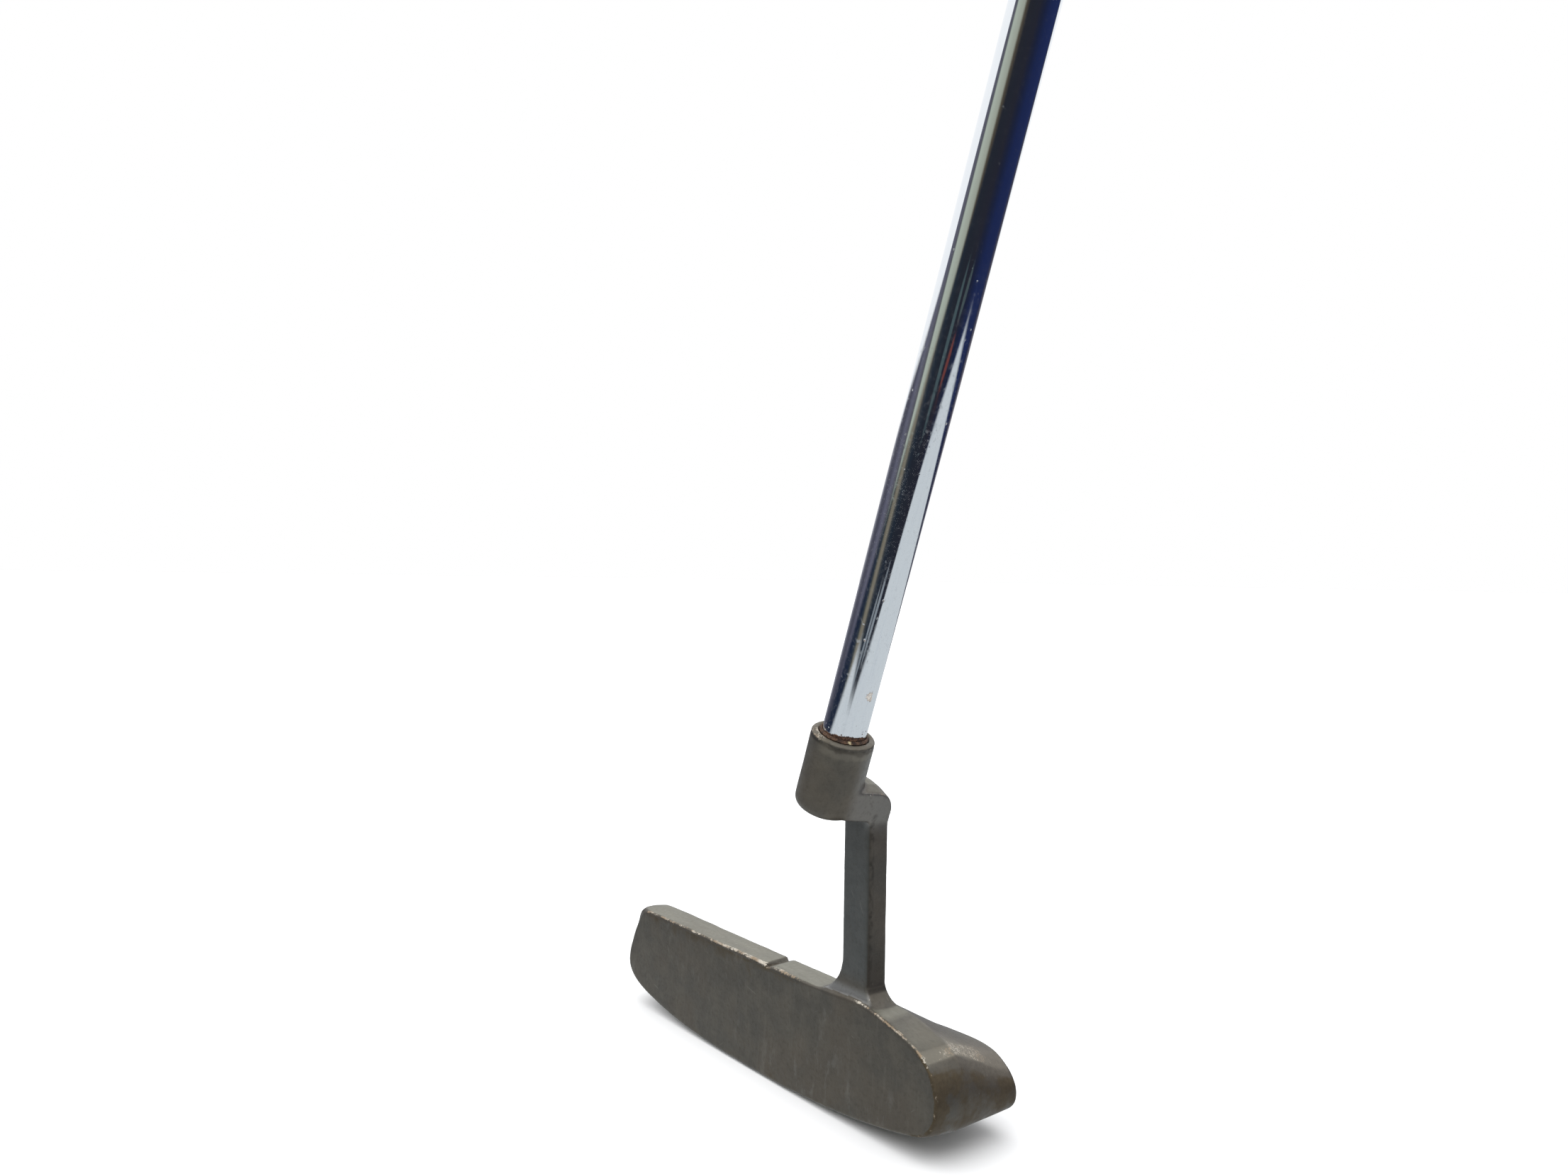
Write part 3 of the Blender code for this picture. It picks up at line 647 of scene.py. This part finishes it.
def head_rust(skin, at, face, up):
    """Brown stains: the heel's end, the face's edges, the notch and the barrel's top."""
    patches = smoothstep(fractal(skin.points, 0.007, 4, 8.2), -0.40, 0.40)
    heel_end = smoothstep(at.x, 0.050, 0.056) * (1 - smoothstep(up, 0.45, 0.70)) * (0.44 + 0.28 * patches)
    ragged_behind = at.behind + 0.0013 * fractal(skin.points, 0.004, 4, 1.7)
    behind_face = between(ragged_behind, 0.0004, 0.0019, 0.0030) * smoothstep(at.x, 0.048, 0.053)
    behind_face = behind_face * (1 - smoothstep(up, 0.5, 0.7))
    under_edge = between(at.z, RAIL_TOP - 0.0015, RAIL_TOP - 0.0005, 0.0004) * face * at.along_rail
    stains = [
        np.maximum(heel_end, behind_face) * (1 - face),
        0.30 * (1 - smoothstep(at.z, 0.001, 0.010)) * face,
        0.6 * under_edge,
        0.5 * smoothstep(at.along, BARREL_TOP - 0.0010, BARREL_TOP - 0.0004),
        0.7 * in_notch(at, face)]
    return np.max(stains, axis=0)


def head_painted_shade(skin, at, painted_shade, face, lip_line, drip, normals):
    """Darkening. Painted shade: the hollows and inner corners, the groove and a band below the barrel's lip,
    the notch's toe-side wall, a soft band below the rail's top on the face, a flecked band beside the post's
    front corner on its heel side, and the post's heel side above its foot with a darker line at the foot.
    Besides, the face is a little darker towards the heel.
    """
    flecks = smoothstep(fractal(skin.points, 0.0013, 3, 6.1), -0.25, 0.35)
    post_corner = between(at.z, *POST_EDGE_Z, 0.003) * smoothstep(at.x, 0.0340, 0.0343)
    post_corner = post_corner * between(at.y, *POST_EDGE_Y, 0.0004)
    heelward = normals[:, 0]
    post_heel = smoothstep(heelward, 0.5, 0.85) * smoothstep(at.x, 0.0320, 0.0332) * (at.from_axis > 0.009)
    low_post = smoothstep(at.z, 0.0282, 0.0290) * (1 - smoothstep(at.z, 0.032, 0.046))
    foot_line = between(at.z, *POST_FOOT_LINE_Z, 0.0005)
    lip_shade = between(drip, BARREL_TOP - 0.0014, BARREL_TOP - 0.0009, 0.0004) * at.on_barrel_wall
    under_rail = between(at.z, RAIL_TOP - 0.0060, RAIL_TOP - 0.0020, 0.0030) * face
    painted_shading = [
        skin.spread(painted_shade, 1),
        0.9 * lip_line,
        lip_shade * between(at.turn, -1.1, 0.9, 0.4),
        0.13 * under_rail * (1 - smoothstep(at.x, -0.02, 0.03)),
        0.85 * in_notch(at, face) * smoothstep(heelward, 0.3, 0.6),
        0.65 * post_corner * flecks,
        post_heel * np.maximum(low_post * 0.45, foot_line * 0.85),
        0.12 * face * smoothstep(at.x, 0.000, 0.040)]
    return np.max(painted_shading, axis=0)


def head_crest(at, up):
    """The rounded crest where the heel's top slope turns down to its end: worn, with a painted highlight
    along it.
    """
    return smoothstep(at.x, 0.046, 0.051) * between(up, 0.72, 0.86, 0.06) * (at.z > 0.008)


def head_polish_and_top_light(at, up):
    """Tops that face up, lighter: smoothed by hands and bags, and with painted light from above: the rail,
    the link's top, the heel's top and the front of its crest.
    """
    rail_top = smoothstep(at.z, RAIL_TOP - 0.001, RAIL_TOP - 0.0003) * (at.z < NECK_LOW)
    on_rail = smoothstep(up, 0.9, 0.99) * rail_top
    beside_barrel = smoothstep(at.from_axis, 0.0070, 0.0076)
    on_link = smoothstep(up, 0.75, 0.95) * between(at.z, *LINK_TOP_Z, 0.001) * beside_barrel
    on_heel = smoothstep(up, 0.86, 0.93) * smoothstep(at.x, 0.038, 0.046) * smoothstep(at.z, 0.012, 0.015)
    on_crest = head_crest(at, up) * (1 - smoothstep(at.y, 0.000, 0.008))
    return np.max([on_rail, on_link * 0.8, on_heel * 0.35, on_crest * 0.55], axis=0)


def head_rubbed_and_highlit(at, drip, up):
    """Speckled rubbing on the barrel's end face and in a band below its lip; on the heel's crest, rubbing
    with a painted highlight.
    """
    crest = head_crest(at, up) * (0.66 + 0.38 * between(at.y, -0.0030, 0.0065, 0.0035))
    end_face = smoothstep(at.along, BARREL_TOP - 0.0009, BARREL_TOP - 0.0003) * (at.from_axis > BORE_RADIUS)
    under_lip = between(drip, BARREL_TOP - 0.0026, BARREL_TOP - 0.0013, 0.0008) * at.on_barrel_wall
    return np.max([crest, end_face * 0.62, under_lip * between(at.turn, -1.2, 0.6, 0.5) * 0.6], axis=0)


def head_painted_light(at, up, forward):
    """Painted light, pale grey: the flare at the post's foot where it faces forward, and fainter the link's
    heel side.
    """
    flare = between(at.z, RAIL_TOP - 0.0005, FLARE_TOP, 0.0020) * smoothstep(forward, 0.25, 0.6)
    flare = flare * between(at.x, 0.017, 0.034, 0.004) * (at.behind > 0.0006)
    on_link = smoothstep(at.side, -0.001, 0.003) * smoothstep(at.across, 0.0050, 0.0060)
    on_link = on_link * (1 - smoothstep(up, 0.5, 0.8))
    return np.maximum(flare, on_link * between(at.z, *LINK_SIDE_Z, 0.004) * 0.40)


def head_piece():
    """The head with soft cast fillets, filed edges and small dents."""
    mesh = remeshed("putter_head", HEAD_VOXEL)
    skin = Surface(mesh)
    skin.smooth(3)
    at = HeadPlaces(skin.points)
    soften_corners(skin, at)

    bend = skin.spread(skin.bend(), 1)
    edge = np.clip(bend / FULL_EDGE, 0, 1)
    hollow = np.clip(-bend / FULL_HOLLOW, 0, 1)
    normals = skin.normals()
    up, forward = normals[:, 2], -normals[:, 1]
    face = smoothstep(normals @ FACE_NORMAL, 0.985, 0.998)
    face = face * (1 - smoothstep(at.y, FACE_TOP_Y + 0.0008, FACE_TOP_Y + 0.0016))
    lip_line = between(at.along, *LIP_LINE, 0.00022) * (at.from_axis > BORE_RADIUS + 0.0008)

    round_heel = smoothstep(at.x, 0.026, 0.036) * (0.30 + 0.70 * smoothstep(at.z, 0.0185, 0.0215))
    on_blade = 1 - smoothstep(at.z, RAIL_TOP + 0.001, RAIL_TOP + 0.003)
    struck = on_blade * np.maximum(at.along_rail, round_heel)
    broken = smoothstep(fractal(skin.points, 0.005, 3, 5.3), -0.45, 0.30)
    exposed = exposure(at, struck, broken)
    wear = head_wear(skin, at, edge, exposed, struck, broken, up)
    roughen(skin, at, edge, exposed, face, lip_line, normals)

    drip = at.along + 0.0006 * fractal(skin.points, 0.003, 3, 4.4)
    looks = {
        "wear": wear,
        # Painted shade in hollows, grooves and on the post's heel side
        "painted_shade": head_painted_shade(skin, at, hollow, face, lip_line, drip, normals),
        "rust": head_rust(skin, at, face, up),
        "face": face,
        "polish_and_top_light": head_polish_and_top_light(at, up),
        "rubbed_and_highlit": head_rubbed_and_highlit(at, drip, up),
        "painted_light": head_painted_light(at, up, forward),
        # The post's front face: painted shade
        "post_front_shade": between(at.z, *POST_FRONT_Z, 0.006) * smoothstep(forward, 0.5, 0.9)}
    for name, values in looks.items():
        write_attribute(mesh, name, values)
    mesh = thinned(mesh, HEAD_TRIANGLES)
    mesh.shade_smooth()
    show("bronze_head", mesh, aged_bronze(), "dark_bronze", "putter_head")


def shaft_piece():
    """The stepped tube, each step rolled in with soft shoulders."""
    rise = (BUTT_RADIUS - TIP_RADIUS) / STEP_COUNT
    fine_rows, fine_pitch, plain_rows, ramp_rows = 90, 0.0004, 60, 8
    profile = [(SHAFT_TIP, TIP_RADIUS)]
    profile += [(SHAFT_TIP + fine_pitch * k, TIP_RADIUS) for k in range(1, fine_rows)]
    profile += [(FOOT_TOP + (FIRST_STEP - FOOT_TOP) * k / plain_rows, TIP_RADIUS) for k in range(plain_rows)]
    for step in range(STEP_COUNT):
        along = FIRST_STEP + STEP_PITCH * step
        for k in range(ramp_rows + 1):
            share = k / ramp_rows
            soft = share * share * (3 - 2 * share)
            profile.append((along + STEP_RAMP * share, TIP_RADIUS + rise * (step + soft)))
    profile.append((SHAFT_BUTT, BUTT_RADIUS))
    profile.append((SHAFT_BUTT, BUTT_RADIUS - SHAFT_WALL))
    profile.append((FIRST_STEP + STEP_PITCH * (STEP_COUNT - 1), BUTT_RADIUS - SHAFT_WALL))
    profile.append((FIRST_STEP, TIP_RADIUS - SHAFT_WALL))
    profile.append((SHAFT_TIP, TIP_RADIUS - SHAFT_WALL))
    mesh = turned_mesh("shaft_tube", profile, SHAFT_SEGMENTS)
    mesh.set_sharp_from_angle(angle=math.radians(40))

    along, across, side = axis_coordinates(Surface(mesh).points)
    turn = np.arctan2(side, across)
    above_mouth = along - BARREL_TOP
    ring = RUST_RING + 0.0004 * np.sin(turn * 2 + 2.2)
    spot = np.hypot((along - BLISTER_ALONG) * 0.8, (turn - BLISTER_TURN) * TIP_RADIUS)
    write_attribute(mesh, "rust", 1 - smoothstep(above_mouth, ring - 0.0008, ring + 0.0009))
    write_attribute(mesh, "foot", 1 - smoothstep(above_mouth, 0.0020, 0.0055))
    write_attribute(mesh, "blister", 1 - smoothstep(spot, 0.0003, 0.0016))
    write_attribute(mesh, "pitted", 1 - smoothstep(along, 0.150, 0.200) * 0.92)
    show("chromed_shaft", mesh, chrome(), "chromed_steel", "shaft")


def epoxy_piece():
    """The adhesive sleeve, with an uneven bead at the hosel's mouth."""
    inside = TIP_RADIUS + EPOXY_GAP
    outside = inside + EPOXY_LAYER
    low = BORE_FLOOR + EPOXY_GAP
    spill = 0.00034
    # The bead's height above the mouth, and how much of the spill it has there
    bead = ((-0.00022, 0.5), (0.00002, 0.95), (0.00008, 1.0), (0.00014, 0.7),
            (0.00022, 0.25), (0.00034, -0.1), (EPOXY_BEAD, -0.35))
    profile = [(low, inside), (low, outside), (BARREL_TOP - EPOXY_BEAD, outside)]
    profile += [(BARREL_TOP + rise, outside + spill * share) for rise, share in bead]
    profile += [(BARREL_TOP + EPOXY_BEAD, inside)]
    most_sag = 0.00008

    def ripple(along, radius, angle):
        crumbs = np.array([noise.noise(Vector((math.cos(a) * 9, math.sin(a) * 9, 4))) for a in angle])
        lifted = along > BARREL_TOP - 0.0001
        return along - lifted * (most_sag / 2 - most_sag * crumbs).clip(0, most_sag), radius

    mesh = turned_mesh("epoxy_sleeve", profile, EPOXY_SEGMENTS, ripple)
    along, across, side = axis_coordinates(Surface(mesh).points)
    from_chip = np.abs(np.arctan2(side, across) - CHIP_TURN)
    write_attribute(mesh, "chip", (1 - smoothstep(from_chip, 0.02, 0.09)) * (along > BARREL_TOP))
    show("epoxy_bead", mesh, old_epoxy(), "aged_epoxy", "hosel_epoxy")


def grip_size(along):
    """The grip's radius, and its flat's distance from the axis, at a place along the shaft."""
    share = (along - GRIP_MOUTH) / (CLUB_LENGTH - GRIP_MOUTH)
    radius = MOUTH_RADIUS + (BUTT_GRIP_RADIUS - MOUTH_RADIUS) * share
    return radius, MOUTH_FLAT + (BUTT_GRIP_FLAT - MOUTH_FLAT) * share


def grip_outline(radius, flat, turn):
    """Distance from the axis at each turn: round, with a flat at 0 whose corners are rounded."""
    edge = math.acos((flat - FLAT_CORNER) / (radius - FLAT_CORNER))
    centre = (radius - FLAT_CORNER) * np.array((math.cos(edge), math.sin(edge)))
    turn = np.abs((turn + math.pi) % (2 * math.pi) - math.pi)
    to_flat = math.atan2(centre[1], flat)
    direction = np.stack((np.cos(turn), np.sin(turn)), -1)
    reach = direction @ centre
    on_corner = reach + np.sqrt(np.maximum(FLAT_CORNER ** 2 - (centre @ centre - reach ** 2), 0))
    distance = np.where(turn < to_flat, flat / np.maximum(np.cos(turn), 0.2), on_corner)
    return np.where(turn > edge, radius, distance)


def grip_rows(alongs, turn, inward=0.0):
    """The grip's outline at each place along the shaft, drawn in by this much."""
    rows = []
    for along, inset in zip(alongs, np.broadcast_to(inward, np.shape(alongs))):
        rows.append(grip_outline(*grip_size(along), turn) - inset)
    return np.array(rows)


def grip_points(alongs, distance, turn):
    """Points at these distances from the axis. The flat, at turn 0, looks away from the heel."""
    return on_axis(np.asarray(alongs)[:, None], -distance * np.cos(turn), distance * np.sin(turn))


def grip_relief(alongs, distance, turn):
    """How deep dimples, ribs and end rings go into the grip at each row and turn."""
    start, end, fade = GRIP_MOUTH + 0.014, GRIP_BUTT - 0.010, 0.0015
    in_field = smoothstep(alongs, start, start + fade) * (1 - smoothstep(alongs, end - fade, end))
    signed = (turn + math.pi) % (2 * math.pi) - math.pi
    at_back = smoothstep(np.abs(signed), 1.05, 1.15)[None, :]

    row = np.round(alongs / DIMPLE_PITCH)
    offset = np.abs(alongs / DIMPLE_PITCH - row) * DIMPLE_PITCH
    columns = 2 * DIMPLES_PER_ROW
    column = (signed[None, :] / (2 * math.pi) * columns) + 0.5 * (row % 2)[:, None]
    beside = np.abs(column - np.round(column)) / columns * 2 * math.pi * distance
    dimple = 1 - smoothstep(np.hypot(beside, offset[:, None]), DIMPLE_RADIUS * 0.6, DIMPLE_RADIUS)

    rib = 0.5 + 0.5 * np.cos(alongs * 2 * math.pi / RIB_PITCH)
    arc = np.abs(signed[None, :] * distance)
    on_flat = 1 - smoothstep(arc, RIB_HALF_WIDTH - 0.0004, RIB_HALF_WIDTH + 0.0004)
    on_flat = on_flat * (np.abs(signed) < 1)[None, :]
    depth = dimple * at_back * DIMPLE_DEPTH + (rib ** 2)[:, None] * on_flat * RIB_DEPTH
    rings = sum(1 - smoothstep(np.abs(alongs - place), 0.0003, 0.0007) for place in GRIP_RINGS)
    return depth * in_field[:, None], rings[:, None]


def grip_piece():
    """The rubber sleeve: dimples round its back, ribs across its flat, and plain bands at both ends."""
    turn = np.arange(GRIP_AROUND) * 2 * math.pi / GRIP_AROUND
    alongs = np.linspace(GRIP_MOUTH, GRIP_BUTT, GRIP_ALONG)
    lip = np.clip(1 - (alongs - GRIP_MOUTH) / 0.0006, 0, 1) * 0.0005
    distance = grip_rows(alongs, turn, lip)
    depth, rings = grip_relief(alongs, distance, turn)
    outer = grip_points(alongs, distance - depth - rings * RING_DEPTH, turn)
    hole = BUTT_RADIUS + 2 * CLEARANCE + LAYER
    inner = grip_points([GRIP_BUTT, GRIP_MOUTH], np.full((2, GRIP_AROUND), hole), turn)
    mesh = grid_mesh("grip_sleeve", np.concatenate((outer, inner)), close_along=True)
    # How much painted shade each point takes: dimples, ribs and rings darker
    recess_shade = depth / DIMPLE_DEPTH + np.minimum(rings, 1)
    write_attribute(mesh, "recess_shade", np.concatenate((recess_shade.ravel(), np.zeros(2 * GRIP_AROUND))))
    mesh.set_sharp_from_angle(angle=math.radians(50))
    show("rubber_grip", mesh, rubber("grip_rubber", GRIP_SHADE), "black_rubber", "grip")


def cap_piece():
    """The end cap, domed at its rim, with a ring groove and the vent through its middle."""
    turn = np.arange(GRIP_AROUND) * 2 * math.pi / GRIP_AROUND
    low = GRIP_BUTT + CLEARANCE
    shoulder = CLUB_LENGTH - CAP_RIM
    outline = grip_outline(*grip_size(low), turn)
    # Each row: its place along the shaft, its outline and how much painted shade it takes
    rows = [(low, outline, 0), (shoulder, outline, 0)]
    for k in range(1, CAP_ROUND_STEPS + 1):
        angle = math.pi / 2 * k / CAP_ROUND_STEPS
        rows.append((shoulder + CAP_RIM * math.sin(angle), outline - CAP_RIM * (1 - math.cos(angle)), 0))
    top = rows[-1][1]
    groove = ((0.86, 0, 0), (0.84, 0.0003, 1), (0.80, 0.0003, 1), (0.78, 0, 0), (0.40, 0, 0))
    for share, drop, recess_shade in groove:
        rows.append((CLUB_LENGTH - drop, top * share, recess_shade))
    for wider, drop, recess_shade in ((0.0003, 0, 0), (0.00005, 0.0001, 0.6), (0, 0.0004, 1)):
        rows.append((CLUB_LENGTH - drop, np.full(GRIP_AROUND, VENT_RADIUS + wider), recess_shade))
    rows.append((low, np.full(GRIP_AROUND, VENT_RADIUS), 1))
    alongs, distances, recess_shades = zip(*rows)
    mesh = grid_mesh("cap_body", grip_points(alongs, np.array(distances), turn), close_along=True)
    mesh.set_sharp_from_angle(angle=math.radians(45))
    write_attribute(mesh, "recess_shade", np.repeat(np.array(recess_shades, float), GRIP_AROUND))
    show("end_cap", mesh, rubber("cap_rubber", CAP_SHADE), "cap_rubber", "grip_end_cap")


def hidden_pieces():
    """The plug and the tape keep their CAD meshes and get their own surfaces."""
    for node, surface in (("shaft_tip_plug", cork()), ("grip_tape", paper_tape())):
        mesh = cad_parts[node].data
        mesh.materials.clear()
        mesh.materials.append(surface)


# --- Studio -----------------------------------------------------------------------------------------


def floor():
    """A broad pale floor that fades into the backdrop."""
    mesh = bpy.data.meshes.new("floor")
    reach = 30.0
    corner_signs = ((-1, -1), (1, -1), (1, 1), (-1, 1))
    mesh.from_pydata([(reach * a, reach * b, 0) for a, b in corner_signs], [], [(0, 1, 2, 3)])
    made, g = material("pale_floor")
    speck = g.noise(0.05, 3, 0.5)
    g.surface(base_color=g.mix(speck, (0.84, 0.84, 0.84), (0.87, 0.87, 0.87)), roughness=0.9)
    mesh.materials.append(made)
    obj = bpy.data.objects.new("floor", mesh)
    bpy.context.scene.collection.objects.link(obj)
    hairline_gap = 0.00005
    obj.location.z = -hairline_gap
    obj.visible_glossy = False


def surroundings():
    """A white backdrop. What metal mirrors is a room: pale table below, dark walls, white light above."""
    world = bpy.data.worlds.new("studio")
    bpy.context.scene.world = world
    world.use_nodes = True
    g = Graph(world.node_tree)
    direction = g.node("ShaderNodeTexCoord").outputs["Generated"]
    split = g.node("ShaderNodeSeparateXYZ", {"Vector": direction})
    x, y, z = split.outputs
    compass = g.add(g.times(g.math("ARCTAN2", y, x), 1 / (2 * math.pi)), 0.5)
    height = g.times(g.math("ARCSINE", z), 180 / math.pi)

    def at(azimuth):
        """The place on the compass, from 0 to 1, of an azimuth in degrees."""
        return (azimuth + 180) / 360

    def level_ramp(stops):
        """An elevation in degrees that changes round the compass, carried by a grey ramp."""
        gray = g.ramp(compass, [(at(a), ((e + 90) / 180,) * 3) for a, e in stops])
        return g.add(g.times(gray, 180), -90)

    def wall_ramp(stops):
        """The walls' colour round the compass."""
        return g.ramp(compass, [(at(azimuth), color) for azimuth, color in stops])

    table_edge = level_ramp([
        (-180, -5), (-150, -8), (-120, -13), (-90, -19.5), (-82, -22.5), (-68, -29.5), (-53, -34), (-38, -35),
        (-27, -35), (-18, -32), (-8, -29), (15, -24), (32, -19), (60, -16), (92, -12), (125, -8), (180, -5)])
    sky_edge = level_ramp([
        (-180, 15), (-138, 15), (-128, 27), (-112, 28), (-74, 20), (-50, 13), (60, 13), (80, 10), (92, 8),
        (110, 6), (150, 10), (180, 15)])
    upper_walls = wall_ramp([
        (-180, (0.10, 0.10, 0.13)), (-158, (0.07, 0.07, 0.10)), (-136, (0.13, 0.13, 0.18)),
        (-117, (0.10, 0.10, 0.12)), (-111, (0.44, 0.49, 0.42)), (-82, (0.36, 0.38, 0.32)),
        (-74, (0.09, 0.075, 0.055)), (-60, (0.020, 0.022, 0.030)), (-20, (0.020, 0.021, 0.030)),
        (2, (0.013, 0.018, 0.045)), (30, (0.013, 0.022, 0.085)), (72, (0.017, 0.027, 0.095)),
        (86, (0.045, 0.045, 0.075)), (103, (0.12, 0.11, 0.14)), (118, (0.26, 0.25, 0.28)),
        (150, (0.34, 0.34, 0.40)), (172, (0.22, 0.22, 0.26)), (180, (0.10, 0.10, 0.13))])
    lower_walls = wall_ramp([
        (-180, (0.030, 0.036, 0.060)), (-150, (0.016, 0.024, 0.045)), (-118, (0.014, 0.022, 0.046)),
        (-108, (0.035, 0.045, 0.055)), (-100, (0.19, 0.17, 0.13)), (-92, (0.21, 0.19, 0.15)),
        (-84, (0.05, 0.055, 0.06)), (-74, (0.018, 0.026, 0.040)), (-60, (0.018, 0.022, 0.032)),
        (-20, (0.020, 0.021, 0.032)), (2, (0.013, 0.018, 0.045)), (30, (0.013, 0.022, 0.080)),
        (72, (0.016, 0.025, 0.085)), (92, (0.020, 0.022, 0.050)), (112, (0.07, 0.07, 0.10)),
        (150, (0.09, 0.09, 0.12)), (180, (0.030, 0.036, 0.060))])
    walls = g.mix(g.step(height, -6, -0.5), lower_walls, upper_walls)
    table = (0.62, 0.66, 0.69)
    white = (1.0, 1.01, 1.03)
    above_table = g.step(g.math("SUBTRACT", height, table_edge), -1.2, 1.2)
    above_walls = g.step(g.math("SUBTRACT", height, sky_edge), -1.5, 1.5)
    room = g.mix(above_table, table, walls)
    room = g.mix(above_walls, room, white)

    def patch(room, azimuth, elevation, wide, tall, color, strength):
        """A soft spot of another colour on the walls."""
        beside = g.times(g.add(compass, -at(azimuth)), 360 / wide)
        above = g.times(g.add(height, -elevation), 1 / tall)
        away = g.math("SQRT", g.add(g.times(beside, beside), g.times(above, above)))
        return g.mix(g.step(away, 0.7, 1.0, strength, 0.0), room, color)

    # Azimuth and elevation, width and height, all in degrees, then colour and strength
    patches = (
        (-64, -27.6, 9, 1.9, (0.30, 0.34, 0.38), 0.7),
        (-48, -30.6, 10, 1.9, (0.34, 0.38, 0.42), 0.75),
        (-40, -19, 9, 4.5, (0.075, 0.115, 0.125), 0.8),
        (-14, -20, 8, 1.4, (0.075, 0.105, 0.11), 0.8),
        (-17, -23, 9, 1.2, (0.22, 0.06, 0.05), 0.7))
    for spot in patches:
        room = patch(room, *spot)
    lamp = g.node("ShaderNodeBackground", {"Color": room, "Strength": 1.0})
    backdrop = g.node("ShaderNodeBackground", {"Color": (1, 1, 1, 1), "Strength": 1.0})
    camera_ray = g.node("ShaderNodeLightPath").outputs["Is Camera Ray"]
    both = g.node("ShaderNodeMixShader", {0: camera_ray, 1: lamp.outputs[0], 2: backdrop.outputs[0]})
    output = g.node("ShaderNodeOutputWorld")
    g.tree.links.new(both.outputs[0], output.inputs["Surface"])


def soft_light():
    """A broad light from above for what isn't metal. Metal takes its light from the room that it mirrors."""
    lamp = bpy.data.lights.new("soft_light", "SUN")
    lamp.energy = 2.6
    lamp.angle = math.radians(100)
    obj = bpy.data.objects.new("soft_light", lamp)
    obj.rotation_euler = (math.radians(14), math.radians(-10), 0)
    obj.visible_glossy = False
    bpy.context.scene.collection.objects.link(obj)


def camera():
    """The camera stands low on the heel's side, close to the head."""
    data = bpy.data.cameras.new("camera")
    data.sensor_width = 36
    data.lens = 26.95
    data.clip_start = 0.01
    data.clip_end = 100
    obj = bpy.data.objects.new("camera", data)
    bpy.context.scene.collection.objects.link(obj)
    place = Matrix.Translation((0.22239, -0.17567, 0.11771))
    azimuth, elevation, roll = (math.radians(a) for a in (52.694, 0.526, 0.872))
    facing = Matrix.Rotation(azimuth, 4, "Z") @ Matrix.Rotation(math.pi / 2 - elevation, 4, "X")
    obj.matrix_world = place @ facing @ Matrix.Rotation(roll, 4, "Z")
    bpy.context.scene.camera = obj


def main():
    camera()
    floor()
    surroundings()
    soft_light()
    head_piece()
    shaft_piece()
    epoxy_piece()
    grip_piece()
    cap_piece()
    hidden_pieces()
    bpy.context.scene.view_settings.view_transform = "Standard"


main()
